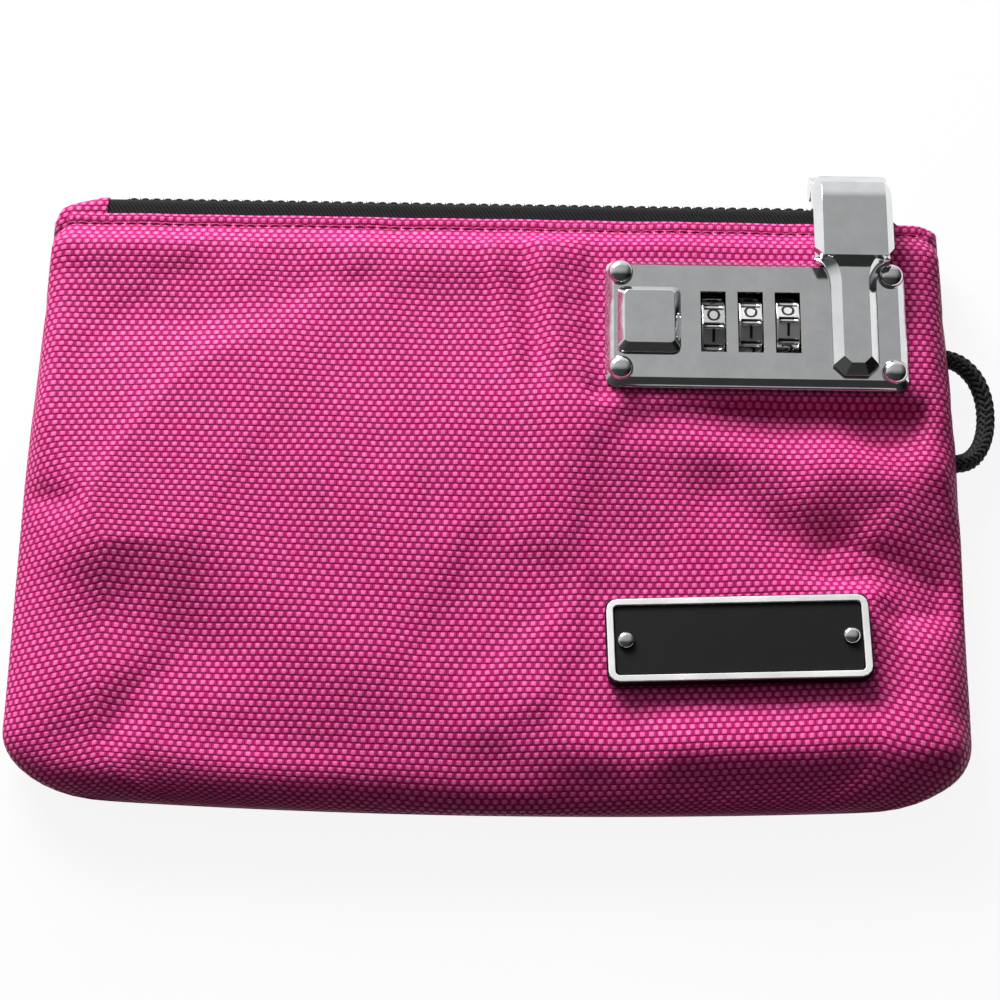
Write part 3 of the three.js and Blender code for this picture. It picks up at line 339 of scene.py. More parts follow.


# The cloth's colours: a painted shade pink for the weave's low places, which also tints its random
# darker patches, the cloth's own pink, and a painted highlight pink for the float tops
PINK_SHADE_AND_PATCHES, PINK, PINK_HIGHLIGHT = (0.27, 0.001, 0.05), (0.60, 0.010, 0.165), (1.0, 0.19, 0.52)
cloth = weave_material("pink_weave", PINK_SHADE_AND_PATCHES, PINK, PINK_HIGHLIGHT)
thread = fibre_material("pink_thread", (0.22, 0.003, 0.07), (0.62, 0.03, 0.24), 2500.0)
binding = fibre_material("seam_binding", (0.05, 0.002, 0.02), (0.24, 0.008, 0.09), 1600.0)
twill_front = twill_material("tape_twill_front", 1)
twill_rear = twill_material("tape_twill_rear", -1)
nickel = metal_material("tooth_nickel", (0.55, 0.56, 0.58), 0.18, 0.34)
chrome = metal_material("chrome_plate", (0.80, 0.81, 0.82), 0.06, 0.13)
steel = metal_material("spring_steel", (0.50, 0.51, 0.52), 0.28, 0.42)
die_cast = metal_material("zinc_casting", (0.42, 0.43, 0.44), 0.42, 0.6, 0.05)
brass = metal_material("brass", (0.65, 0.48, 0.22), 0.3, 0.45)
# Black enamel for the numerals; the same black also paints the shade lines beside the dials' bars
black_enamel_and_shade = metal_material("blackened_metal", (0.03, 0.03, 0.032), 0.3, 0.45)
dial_metal = metal_material("dial_metal", (0.86, 0.86, 0.87), 0.14, 0.22, metallic=0.92)
black_rubber = rubber_material("black_rubber", (0.006, 0.006, 0.007), 0.6)
white_rubber = rubber_material("white_rubber", (0.95, 0.95, 0.94), 0.45)
braid = fibre_material("black_braid", (0.004, 0.004, 0.005), (0.022, 0.022, 0.025), 2200.0, 0.2)


# Pouch cloth
def half_width(y):
    """The pouch's half width at a height, with its round lower corners."""
    side = TOP_HALF + (BOTTOM_HALF - TOP_HALF) * smooth(2 * (HEM_Y - y) / POUCH_HEIGHT)
    missing = np.maximum(CORNER_RISE - (y - BOTTOM_Y), 0) / CORNER_RISE
    return side - CORNER_RUN + CORNER_RUN * np.sqrt(np.maximum(1 - missing ** 2, 0))


def crown_height(x, y):
    """The front cloth's height: flat at the lock, and blended into the plain shape around it."""
    plain = HEM_Z + (FULLNESS - HEM_Z) * smooth((HEM_Y - HEM_FLAT - y) / HEM_BLEND)
    flat_x, flat_y = PLATE_W / 2 + 1, PLATE_H / 2 + 1
    blend_y = np.where(y > LOCK_Y, HEM_Y - LOCK_Y - flat_y, LOCK_BLEND)
    out_x = np.maximum(np.abs(x - LOCK_X) - flat_x, 0) / LOCK_BLEND
    out_y = np.maximum(np.abs(y - LOCK_Y) - flat_y, 0) / blend_y
    return LOCK_Z + (plain - LOCK_Z) * smooth(np.hypot(out_x, out_y))


def rows_at(cells, corner_cells, depth):
    """Heights down the cloth from the hem to the bottom edge, and how far each has risen."""
    body = np.linspace(HEM_Y, BOTTOM_Y + CORNER_RISE, cells + 1)[:-1]
    turns = np.linspace(0, pi / 2, corner_cells + 1)
    y = np.concatenate([body, BOTTOM_Y + CORNER_RISE * (1 - np.sin(turns))])
    share = np.minimum((y - BOTTOM_Y) / depth, 1)
    return y, np.sqrt(1 - (1 - share) ** 2)


def columns_at(half, side_round, cells, edge_cells):
    """Places across the cloth, closer together at its sides, and how far each has risen."""
    turns = np.linspace(0, pi / 2, edge_cells + 1)[:-1]
    edge_x, edge_rise = half - side_round * (1 - np.cos(turns)), np.sin(turns)
    middle = np.linspace(side_round - half, half - side_round, cells + 1)
    x = np.concatenate([-edge_x, middle, edge_x[::-1]])
    return x, np.concatenate([edge_rise, np.ones(cells + 1), edge_rise[::-1]])


def bowed(y, x):
    """The bottom seam curves up a little towards both sides."""
    down = (HEM_Y - y) / POUCH_HEIGHT
    return y + BOTTOM_BOW * (x / BOTTOM_HALF) ** 2 * down ** 2


def front_grid(cells_y, corner_cells, cells_x, edge_cells):
    ys, rises = rows_at(cells_y, corner_cells, BOTTOM_ROUND + EARLIER_TURN)
    seam = SEAM_Z + GAP / 2
    rows = []
    for y, rise_y in zip(ys, rises):
        down = smooth((ROUND_BLEND / 2 - y) / ROUND_BLEND)
        side_round = ROUND_TOP + (ROUND_BOTTOM - ROUND_TOP) * down
        x, rise = columns_at(half_width(y), side_round, cells_x, edge_cells)
        z = seam + (crown_height(x, y) - seam) * rise * rise_y
        rows.append(np.stack([x, bowed(y, x), z], axis=1))
    return np.array(rows)


def rear_grid(cells_y, corner_cells, cells_x, edge_cells):
    ys, rises = rows_at(cells_y, corner_cells, REAR_BOTTOM_ROUND)
    seam = SEAM_Z - GAP / 2
    rows = []
    for y, rise_y in zip(ys, rises):
        x, rise = columns_at(half_width(y), REAR_SIDE_ROUND, cells_x, edge_cells)
        rows.append(np.stack([x, bowed(y, x), seam - seam * rise * rise_y], axis=1))
    return np.array(rows)


def normals_of(grid):
    down, across = np.gradient(grid, axis=0), np.gradient(grid, axis=1)
    normal = np.cross(down, across)
    length = np.linalg.norm(normal, axis=2, keepdims=True)
    return normal / np.maximum(length, 1e-9)


def cloth_uv(grid):
    """Millimetres along the cloth from its middle line and from the hem."""
    steps_x = np.linalg.norm(np.diff(grid, axis=1), axis=2)
    u = np.concatenate([np.zeros((len(grid), 1)), np.cumsum(steps_x, axis=1)], axis=1)
    u -= u[:, u.shape[1] // 2][:, None]
    steps_y = np.linalg.norm(np.diff(grid, axis=0), axis=2)
    v = np.concatenate([np.zeros((1, grid.shape[1])), np.cumsum(steps_y, axis=0)], axis=0)
    return np.stack([u, -v], axis=2)


def resampled(field, rows, columns):
    """A coarse grid's values on a finer grid, by straight steps."""
    def along(values, count):
        at = np.linspace(0, len(values) - 1, count)
        low = np.minimum(at.astype(int), len(values) - 2)
        share = (at - low).reshape(-1, *([1] * (values.ndim - 1)))
        return values[low] * (1 - share) + values[low + 1] * share
    field = along(field, rows)
    return np.swapaxes(along(np.swapaxes(field, 0, 1), columns), 0, 1)


def blurred(field, times):
    for _ in range(times):
        for axis in (0, 1):
            field = (np.roll(field, 1, axis) + 2 * field + np.roll(field, -1, axis)) / 4
    return field


# Each soft fold: from (x, y) to (x, y), half width and height, all in millimetres
FOLDS = [
    (-45, 37, -91, -18, 10.6, 1.3), (-84, -31, -66, -40, 12.0, -1.9), (78, 6, 107, 2, 8.5, 1.3),
    (81, -20, 109, -25, 7.6, -2.2), (43, -61, 104, -62, 9.4, 3.0), (-60, -57, -86, -66, 8.8, -0.5),
    (-75, -52, -94, -62, 8.3, -1.6), (-75, -54, -83, -71, 3.5, 0.4), (-109, -3, -99, -5, 3.3, -1.7),
    (-109, -4, -95, -6, 3.0, 0.8), (-92, 30, -63, 45, 9.1, -0.4), (-1, 60, 5, 36, 2.6, 0.9),
    (7, 58, 10, 35, 2.6, -1.1), (11, 60, 15, 36, 4.0, 1.5), (24, 58, 23, 36, 2.8, -0.8),
    (-3, 56, 1, 36, 2.6, -0.5), (-24, 50, -10, 16, 6.7, 0.4), (-53, 58, -26, 12, 9.7, -1.2),
    (-81, -6, -31, -41, 12.3, 1.5), (-36, 4, -4, -44, 12.5, 0.7), (12, -51, 32, -69, 6.3, 1.4),
    (2, -58, 22, -66, 5.7, 0.6), (41, -55, 27, -71, 5.1, -0.3), (110, -24, 92, -24, 3.5, -0.9),
    (110, -29, 80, -49, 5.8, 0.6), (94, -27, 87, -63, 8.7, -1.9), (107, 0, 101, 9, 3.9, 1.0),
    (103, 1, 92, 13, 5.9, -1.7), (54, 0, 90, -18, 8.1, -1.9), (36, 22, 71, -1, 10.0, 1.8),
    (15, 10, 44, -18, 9.3, -0.6), (-49, -58, 1, -66, 9.5, -0.9), (-59, 24, -25, -3, 12.2, -0.5),
    (-67, -58, -37, -62, 4.6, -0.6), (-100, 46, -89, 47, 6.7, -0.6), (-56, 46, -95, -16, 7.3, 1.0),
    (-61, 54, 9, 56, 5.2, 0.7), (85, -56, 108, -44, 7.2, 1.2), (33, -51, 70, -58, 6.2, -0.2),
    (34, 19, 97, 17, 7.5, -3.5), (40, 6, 68, 4, 9.0, -1.4), (-37, 22, 18, -15, 10.0, 0.5),
    (-20, -33, 31, -14, 10.4, -0.3), (-63, -24, -58, -61, 8.4, -0.8), (-66, 14, 12, 12, 36, 2.8),
    (70, -10, 109, -26, 6.5, -1.4),
]
# How softly a fold ends, how deep and high the folds may get, and how they fade at the bottom seam
FOLD_END, FOLD_DEEPEST, FOLD_HIGHEST = 7.0, -3.6, 3.2
FOLD_SEAM, FOLD_FADE = 2, 12


def fold_field(x, y):
    """How far all folds together raise the front cloth."""
    height = np.zeros_like(x)
    for x0, y0, x1, y1, half, rise in FOLDS:
        run = np.array([x1 - x0, y1 - y0], float)
        length = np.hypot(*run)
        along = ((x - x0) * run[0] + (y - y0) * run[1]) / length
        beside = ((y - y0) * run[0] - (x - x0) * run[1]) / length
        beyond = along - np.clip(along, 0, length)
        height += rise * np.exp(-(beside / half) ** 2 - (beyond / max(half, FOLD_END)) ** 2)
    seam = y - BOTTOM_Y - BOTTOM_BOW * (x / BOTTOM_HALF) ** 2
    return np.clip(height, FOLD_DEEPEST, FOLD_HIGHEST) * smooth((seam - FOLD_SEAM) / FOLD_FADE)


def clear_of(x, y, middle_x, middle_y, width, height, blend):
    """0 on a flat fitting and 1 a blend away from it."""
    out_x = np.maximum(np.abs(x - middle_x) - width / 2, 0)
    out_y = np.maximum(np.abs(y - middle_y) - height / 2, 0)
    return smooth(np.hypot(out_x, out_y) / blend)


# Cloth that stays flat round the fittings and at the hem, and how soon it is free beyond that,
# in millimetres
LOCK_FLAT_W, LOCK_FLAT_H, LOCK_FREE = PLATE_W + 2, PLATE_H + 1, 5
LABEL_FLAT_W, LABEL_FLAT_H, LABEL_FREE = LABEL_W + 3, LABEL_H + 3, 6
HEM_HELD, HEM_FREE = 3.2, 6


def free_share(grid):
    """How freely each point of the front cloth may move."""
    x, y = grid[..., 0], grid[..., 1]
    hem = smooth((HEM_Y - HEM_HELD - y) / HEM_FREE)
    lock = clear_of(x, y, LOCK_X, LOCK_Y, LOCK_FLAT_W, LOCK_FLAT_H, LOCK_FREE)
    label = clear_of(x, y, LABEL_X, LABEL_Y, LABEL_FLAT_W, LABEL_FLAT_H, LABEL_FREE)
    return hem * lock * label


# The cloth simulation: its pressure, how much the cloth grows, the most that a point may move in
# millimetres, the share of freedom below which a point is pinned, and the number of steps
SETTLE_PRESSURE, SETTLE_GROWTH, SETTLE_CAP = 0.4, 0.006, 0.45
PINNED_BELOW, SETTLE_STEPS = 0.35, 20


def simulated(grid, free):
    """The cloth's own settling, from Blender's cloth simulation, as moves of the grid's points."""
    rows, columns = grid.shape[:2]
    flat = grid.reshape(-1, 3)
    obj = mesh_object("cloth_trial", flat, grid_faces(rows, columns), cloth)
    pins = obj.vertex_groups.new(name="pins")
    hold = np.ones((rows, columns))
    hold[1:-1, 1:-1] = 0
    hold = np.maximum(hold, free < PINNED_BELOW).ravel()
    pins.add([int(i) for i in np.flatnonzero(hold)], 1.0, "REPLACE")
    modifier = obj.modifiers.new("settle", "CLOTH")
    settings = modifier.settings
    settings.vertex_group_mass = "pins"
    settings.quality = 6
    settings.mass = 0.3
    settings.tension_stiffness = settings.compression_stiffness = 25
    settings.shear_stiffness, settings.bending_stiffness = 12, 2.5
    settings.shrink_min = -SETTLE_GROWTH
    settings.use_pressure = True
    settings.uniform_pressure_force = SETTLE_PRESSURE
    settings.effector_weights.gravity = 0
    modifier.collision_settings.use_collision = False
    for step in range(SETTLE_STEPS):
        scene.frame_set(step + 1)
    moved = obj.evaluated_get(bpy.context.evaluated_depsgraph_get())
    result = np.zeros(len(flat) * 3)
    moved.data.vertices.foreach_get("co", result)
    move = result.reshape(rows, columns, 3) / MM - grid
    scene.frame_set(1)
    bpy.data.objects.remove(obj)
    length = np.linalg.norm(move, axis=2, keepdims=True)
    return move * np.minimum(1, SETTLE_CAP / np.maximum(length, 1e-9))


# The hem, in millimetres: its band of folded cloth, the stitches, the groove that they pull in,
# how far the cloth beside them sinks, and the swell further down with its rise and fall
HEM_BAND, STITCH = 2.5, 2.9
GROOVE, GROOVE_HALF, BAND_RISE, BAND_HALF = -0.4, 0.7, 0.25, 0.9
SINK, SINK_LENGTH = -0.85, 6
SWELL, SWELL_AT, SWELL_RISE, SWELL_FALL = 1.35, 6.5, 4, 16
SWELL_CLEAR = 11
RIPPLE, RIPPLE_LENGTHS = 0.22, (4.1, 9.7)


def hem_groove(grid, seed):
    """The hem's relief: pressed fold, stitched groove, swell below, and small ripples."""
    x, y = grid[..., 0], grid[..., 1]
    drop = HEM_Y - y
    groove = GROOVE * np.exp(-((drop - HEM_BAND) / GROOVE_HALF) ** 2)
    groove *= 0.8 + 0.2 * np.cos(2 * pi * x / STITCH)
    band = BAND_RISE * np.exp(-((drop - HEM_BAND / 2) / BAND_HALF) ** 2)
    below = SINK * (1 - smooth((drop - HEM_BAND) / SINK_LENGTH))
    past = drop - HEM_BAND - SWELL_AT
    swell = SWELL * np.exp(-(past / np.where(past < 0, SWELL_RISE, SWELL_FALL)) ** 2)
    swell *= clear_of(x, y, LOCK_X, LOCK_Y, LOCK_FLAT_W, LOCK_FLAT_H, SWELL_CLEAR)
    swell *= smooth(drop / HEM_BAND)
    long, longer = RIPPLE_LENGTHS
    ripple = RIPPLE * np.sin(x / long + seed) * np.sin(x / longer + 2 * seed)
    ripple *= np.exp(-((drop - 2) / 5) ** 2)
    return groove + band + below + swell + ripple


def cloth_piece(name, node, plain, grid, keep=None):
    """A sheet through the grid, its weave laid out on the plain grid, so that it stays regular."""
    rows, columns = grid.shape[:2]
    shifted = grid + (0, SHIFT_Y, 0)
    uv = cloth_uv(plain).reshape(-1, 2)
    faces = grid_faces(rows, columns, keep)
    obj = mesh_object(name, shifted.reshape(-1, 3), faces, cloth, uv)
    solid = obj.modifiers.new("thickness", "SOLIDIFY")
    solid.thickness, solid.offset = CLOTH * MM, -1
    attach(obj, "pouch")
    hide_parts(node)


# Cells down, in the corners, across, and round the sides
FRONT_CELLS, TRIAL_CELLS, REAR_CELLS = (150, 14, 190, 12), (50, 5, 70, 5), (120, 10, 120, 10)
# How far folds and hem fade towards the side seams, and how far the hole behind the lock plate
# stays inside the plate
FOLD_SIDE_FADE, HEM_SIDE_FADE = 6, 3
HOLE_INSET_X, HOLE_INSET_Y = 5, 3


def make_front_cloth():
    rows = front_grid(*FRONT_CELLS)
    coarse = front_grid(*TRIAL_CELLS)
    free = free_share(rows)
    move = blurred(resampled(simulated(coarse, free_share(coarse)), *rows.shape[:2]), 3)
    edge = np.zeros(rows.shape[:2])
    edge[1:-1, 1:-1] = 1
    out = normals_of(rows)
    x, y = rows[..., 0], rows[..., 1]
    inward = half_width(y) - np.abs(x)
    rise = fold_field(x, y) * free * smooth(inward / FOLD_SIDE_FADE)
    hem = hem_groove(rows, 0.4) * smooth(inward / HEM_SIDE_FADE)
    shaped = rows + (rise + hem)[..., None] * out + move * (free * edge)[..., None]
    middle = (shaped[:-1, :-1] + shaped[1:, 1:]) / 2
    past_x = np.abs(middle[..., 0] - LOCK_X) > PLATE_W / 2 - HOLE_INSET_X
    past_y = np.abs(middle[..., 1] - LOCK_Y) > PLATE_H / 2 - HOLE_INSET_Y
    cloth_piece("cloth_front", "front_panel", rows, shaped, past_x | past_y)
    return shaped


def make_rear_cloth():
    mirrored = rear_grid(*REAR_CELLS)[:, ::-1]
    inward = half_width(mirrored[..., 1]) - np.abs(mirrored[..., 0])
    groove = np.minimum(hem_groove(mirrored, 1.7), 0) * smooth(inward / HEM_SIDE_FADE)
    shaped = mirrored + groove[..., None] * normals_of(mirrored)
    cloth_piece("cloth_rear", "rear_panel", mirrored, shaped)
    return shaped


# Stitches, in millimetres: how far the row keeps from the pouch's corners, the space at each end of
# a stitch, the thread's radius, how high a stitch arches, and how deep its ends sink
STITCH_MARGIN, STITCH_SPACE, THREAD_RADIUS, STITCH_ARCH, STITCH_SUNK = 4, 0.25, 0.24, 0.42, 0.12


def stitch_row(name, grid):
    """Thread stitches along the hem's groove, each a short bent tube."""
    nearest = int(np.argmin(np.abs(HEM_Y - grid[:, grid.shape[1] // 2, 1] - HEM_BAND)))
    row, out = grid[nearest], normals_of(grid)[nearest]
    order = np.argsort(row[:, 0])
    xs = row[order, 0]
    lift = STITCH_ARCH * np.sin(np.linspace(0.15, pi - 0.15, 7)) - STITCH_SUNK
    parts = []
    start = -TOP_HALF + STITCH_MARGIN
    while start + STITCH < TOP_HALF - STITCH_MARGIN:
        at = np.linspace(start + STITCH_SPACE, start + STITCH - STITCH_SPACE, 7)
        line = np.stack([np.interp(at, xs, row[order, k]) for k in range(3)], axis=1)
        away = np.stack([np.interp(at, xs, out[order, k]) for k in range(3)], axis=1)
        parts.append(tube(line + away * lift[:, None] + (0, SHIFT_Y, 0), THREAD_RADIUS, 6))
        start += STITCH
    points, faces = merged(parts)
    obj = mesh_object(name, points, faces, thread)
    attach(obj, "pouch")


# Cord loop: a round braid along the CAD cord's route
CORD_ROUTE = [
    (-3.0, 38.4, 6.5), (0.9, 38.3, 6.4), (4.4, 36.9, 5.6), (7.5, 33.9, 4.3), (9.3, 29.6, 3.2),
    (9.7, 25.0, 2.8), (9.1, 20.4, 3.2), (7.5, 16.2, 4.3), (5.1, 13.0, 5.6), (2.3, 11.6, 6.4),
    (-1.6, 11.4, 6.5),
]
# Strands each way and their turns round the cord; in millimetres their radius, how far they lie
# inside the cord's radius, how far they rise and dip, and how far inside it the core stays
STRANDS, BRAID_TURNS, STRAND_RADIUS, STRAND_INSET, STRAND_WAVE = 8, 3.2, 0.46, 0.62, 0.16
CORE_INSET = 0.75


def curve_through(points, per_span):
    """A Catmull-Rom line through the points."""
    points = np.asarray(points, float)
    ends = [2 * points[0] - points[1], *points, 2 * points[-1] - points[-2]]
    line = []
    for a, b, c, d in zip(ends, ends[1:], ends[2:], ends[3:]):
        for t in np.arange(per_span) / per_span:
            line.append(0.5 * (2 * b + (c - a) * t + (2 * a - 5 * b + 4 * c - d) * t ** 2
                               + (3 * b - a - 3 * c + d) * t ** 3))
    return np.array([*line, points[-1]])


def braid_strands(path):
    """Strands that wind both ways round the path and pass over and under each other."""
    along = np.gradient(path, axis=0)
    along /= np.linalg.norm(along, axis=1)[:, None]
    normal = np.zeros_like(path)
    last = np.array((0.0, 0.0, 1.0))
    for i, t in enumerate(along):
        last = last - t * last.dot(t)
        last /= np.linalg.norm(last)
        normal[i] = last
    side = np.cross(along, normal)
    wound = np.linspace(0, 1, len(path)) * BRAID_TURNS * 2 * pi
    parts = []
    for way in (-1, 1):
        for k in range(STRANDS):
            first = k * 2 * pi / STRANDS
            turn = way * wound + first
            radius = CORD_RADIUS - STRAND_INSET
            radius += STRAND_WAVE * way * np.cos(STRANDS / 2 * (wound + way * first))
            ring = np.cos(turn)[:, None] * normal + np.sin(turn)[:, None] * side
            parts.append(tube(path + radius[:, None] * ring, STRAND_RADIUS, 6))
    return parts


def make_cord():
    at = float(half_width(np.array(CORD_ROUTE[0][1])))
    route = curve_through([(x + at, y + SHIFT_Y, z) for x, y, z in CORD_ROUTE], 14)
    core = tube(route, CORD_RADIUS - CORE_INSET, 12)
    points, faces = merged([core, *braid_strands(route)])
    obj = mesh_object("cord_braid", points, faces, braid)
    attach(obj, "pouch")
    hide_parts("cord_loop")


# Zip, in millimetres: cloth end tabs, the tape's woven edge between the teeth, and the teeth's
# clamping legs
ZIP_Z, ZIP_FACE_Y, NOSE_HALF, NOSE_RADIUS, EDGE_OFF = 8.1, 74.3, 6.5, 2.2, 4.9
ZIP_LEFT, NOSE_FULL_RIGHT, NOSE_FALL, LEFT_FALL = -95.5, 93.0, 6.5, 0.45
TAB_END, TAB_CLOSED, TAPER_START, TAPER_LENGTH = 105.0, 107.2, 101.0, 6.4
TAB_LEFT_FROM, TAB_RIGHT_FROM, TAB_PROUD, TAB_TUCK, TAB_CLOTH = -94.0, 98.4, 0.32, 6.0, 0.7
TAB_SECTIONS = 31
TOOTH_PITCH, FIRST_TOOTH, EDGE_STOPS = 2.75, -89.5, 76
EDGE_HALF, EDGE_RADIUS, EDGE_BULGE, EDGE_PROUD = 0.92, 0.62, 1.1, 0.05
LEG_HALF, LEG_RADII, LEG_PROUD = 0.42, (0.3, 0.66, 0.74, 0.66, 0.3), 0.08


def nose_reach(x):
    """How far the zip's nose reaches out of the hem, as a share of its full height."""
    if x > NOSE_FULL_RIGHT:
        return 1 - float(smooth((x - NOSE_FULL_RIGHT) / NOSE_FALL))
    if x < ZIP_LEFT:
        return 1 - LEFT_FALL * (ZIP_LEFT - x) / (TAB_END + ZIP_LEFT)
    return 1.0


def nose_line(x):
    """One section of a tab over the zip's rounded nose, from the front hem to the rear hem."""
    turns = np.linspace(0, pi / 2, 9)
    y = np.concatenate([[HEM_Y - TAB_TUCK], ZIP_FACE_Y - NOSE_RADIUS * (1 - np.cos(turns[::-1]))])
    z = np.concatenate([[NOSE_HALF], NOSE_HALF - NOSE_RADIUS * (1 - np.sin(turns[::-1]))])
    y, z = np.concatenate([y, y[::-1]]), np.concatenate([z, -z[::-1]])
    inner = HEM_Y - 1
    reach = nose_reach(x) * smooth((TAB_CLOSED - abs(x)) / (TAB_CLOSED - TAB_END))
    y = np.where(y > inner, inner + (y - inner) * reach, y)
    past = max(abs(x) - TAPER_START, 0) / TAPER_LENGTH
    points = np.stack([np.full_like(y, x), y, ZIP_Z + z * sqrt(max(1 - past ** 2, 0.0))], axis=1)
    along = np.gradient(points, axis=0)
    out = np.stack([np.zeros_like(y), -along[:, 2], along[:, 1]], axis=1)
    return points + TAB_PROUD * out / np.maximum(np.linalg.norm(out, axis=1), 1e-9)[:, None]


def make_tab(end, x0, x1):
    rows = np.array([nose_line(x) for x in np.linspace(x0, x1, TAB_SECTIONS)])
    steps = np.linalg.norm(np.diff(rows, axis=1), axis=2)
    v = np.concatenate([np.zeros((TAB_SECTIONS, 1)), np.cumsum(steps, axis=1)], axis=1)
    uv = np.stack([rows[..., 0], -v], axis=2).reshape(-1, 2)
    shifted = (rows + (0, SHIFT_Y, 0)).reshape(-1, 3)
    obj = mesh_object(f"tab_{end}", shifted, grid_faces(*rows.shape[:2]), cloth, uv)
    solid = obj.modifiers.new("thickness", "SOLIDIFY")
    solid.thickness, solid.offset = TAB_CLOTH * MM, 0
    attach(obj, "pouch")
    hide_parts(f"zip_tab_{end}")


def zip_row(side, first, half, radii, proud):
    """A row of short tubes along one edge of the zip, one to each tooth."""
    count = len(radii)
    y, z = ZIP_FACE_Y + proud, ZIP_Z + side * EDGE_OFF
    parts = []
    for x in np.arange(first, EDGE_STOPS, TOOTH_PITCH):
        at = np.linspace(x - half, x + half, count)
        line = np.stack([at, np.full(count, y), np.full(count, z)], axis=1)
        parts.append(tube(line + (0, SHIFT_Y, 0), radii, 8))
    return merged(parts)


def zip_edge(title, side, first, material):
    """The tape's woven edge, which swells between each two teeth."""
    across = np.linspace(-EDGE_HALF, EDGE_HALF, 7) / EDGE_BULGE
    radii = EDGE_RADIUS * np.sqrt(np.maximum(1 - across ** 2, 0.03))
    points, faces = zip_row(side, first, EDGE_HALF, radii, EDGE_PROUD)
    obj = mesh_object(f"zip_edge_{title}", points, faces, material)
    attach(obj, "pouch")


def tooth_legs(title, side, first):
    """The metal legs that clamp the teeth to the tape's edge."""
    points, faces = zip_row(side, first, LEG_HALF, np.array(LEG_RADII), LEG_PROUD)
    obj = mesh_object(f"tooth_legs_{title}", points, faces, nickel)
    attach(obj, "pouch")


make_cord()
make_tab("left", -TAB_CLOSED, TAB_LEFT_FROM)
make_tab("right", TAB_RIGHT_FROM, TAB_CLOSED)
zip_edge("front", 1, FIRST_TOOTH + TOOTH_PITCH / 2, twill_front)
zip_edge("rear", -1, FIRST_TOOTH, twill_rear)
tooth_legs("front", 1, FIRST_TOOTH)
tooth_legs("rear", -1, FIRST_TOOTH + TOOTH_PITCH / 2)
front_shape = make_front_cloth()
rear_shape = make_rear_cloth()
stitch_row("hem_stitches_front", front_shape)
stitch_row("hem_stitches_rear", rear_shape)


# CAD nodes that stay: materials, and rounded edges where metal catches the light
def finish_node(name, material, bevel, segments):
    obj = nodes[name]
    obj.data.materials.clear()
    obj.data.materials.append(material)
    if not bevel:
        return
    obj.data.polygons.foreach_set("use_smooth", np.ones(len(obj.data.polygons), bool))
    weld = obj.modifiers.new("weld", "WELD")
    weld.merge_threshold = 0.01 * MM
    flat = obj.modifiers.new("flat", "DECIMATE")
    flat.decimate_type, flat.angle_limit = "DISSOLVE", radians(1)
    edge = obj.modifiers.new("edge", "BEVEL")
    edge.width, edge.segments = bevel * MM, segments
    edge.limit_method, edge.angle_limit = "ANGLE", radians(28)
    obj.modifiers.new("shade", "WEIGHTED_NORMAL")


# Material, width of the rounded edges in millimetres (0 for none) and their segments
NODE_FINISHES = {
    "zip_tape_front": (twill_front, 0, 0), "zip_tape_rear": (twill_rear, 0, 0),
    "seam_tape_left": (binding, 0, 0), "seam_tape_right": (binding, 0, 0),
    "teeth_front": (nickel, 0.12, 2), "teeth_rear": (nickel, 0.12, 2),
    "top_stop_front": (nickel, 0.15, 2), "top_stop_rear": (nickel, 0.15, 2),
    "bottom_stop": (nickel, 0.2, 2), "zip_slider": (chrome, 0.35, 3), "zip_pull": (chrome, 0.3, 3),
    "pull_pin": (steel, 0.1, 3), "lock_plate": (chrome, 0.25, 3),
    "lock_housing": (die_cast, 0.2, 2), "lock_backing_frame": (steel, 0.15, 2),
    "dial_shaft": (steel, 0, 0), "detent_spring": (steel, 0, 0),
    "dial_wheel_1": (dial_metal, 0.15, 2), "dial_wheel_2": (dial_metal, 0.15, 2),
    "dial_wheel_3": (dial_metal, 0.15, 2), "code_sleeve_1": (brass, 0, 0),
    "code_sleeve_2": (brass, 0, 0), "code_sleeve_3": (brass, 0, 0),
    "release_button": (chrome, 0.3, 3), "latch_bar": (steel, 0.1, 2),
    "button_screw": (steel, 0.1, 2), "label_plate": (black_rubber, 0.3, 3),
    "label_rim": (white_rubber, 0.2, 3),
}
for name, (material, bevel, segments) in NODE_FINISHES.items():
    finish_node(name, material, bevel, segments)


# Dark numerals and the bars on the dials, in millimetres and degrees
NUMERAL_SIZE, NUMERAL_THIN, NUMERAL_RAISED, NUMERAL_STRETCH = 4.7, -0.03, 0.1, 1.6
DIAL_TURNS, DIAL_RADIUS, DIAL_AXIS_Z, DIAL_FACE = (10, 17, 22), 8.5, 13.0, 36
DIAL_APOTHEM = DIAL_RADIUS * cos(pi / 10)
BAR_PLACE, BAR_INSET = DIAL_RADIUS - 0.35, 0.35


def numeral(text):
    """One numeral's points, centred, and its faces."""
    curve = bpy.data.curves.new("numeral", "FONT")
    curve.body = text
    curve.size, curve.offset = NUMERAL_SIZE * MM, NUMERAL_THIN * MM
    curve.extrude = NUMERAL_RAISED * MM
    curve.resolution_u = 3
    holder = bpy.data.objects.new("numeral", curve)
    scene.collection.objects.link(holder)
    bpy.context.view_layer.update()
    mesh = holder.to_mesh()
    points = np.array([v.co for v in mesh.vertices], float).reshape(-1, 3) / MM
    faces = [tuple(p.vertices) for p in mesh.polygons]
    holder.to_mesh_clear()
    bpy.data.objects.remove(holder)
    points[:, :2] -= (points[:, :2].max(0) + points[:, :2].min(0)) / 2
    return points, faces


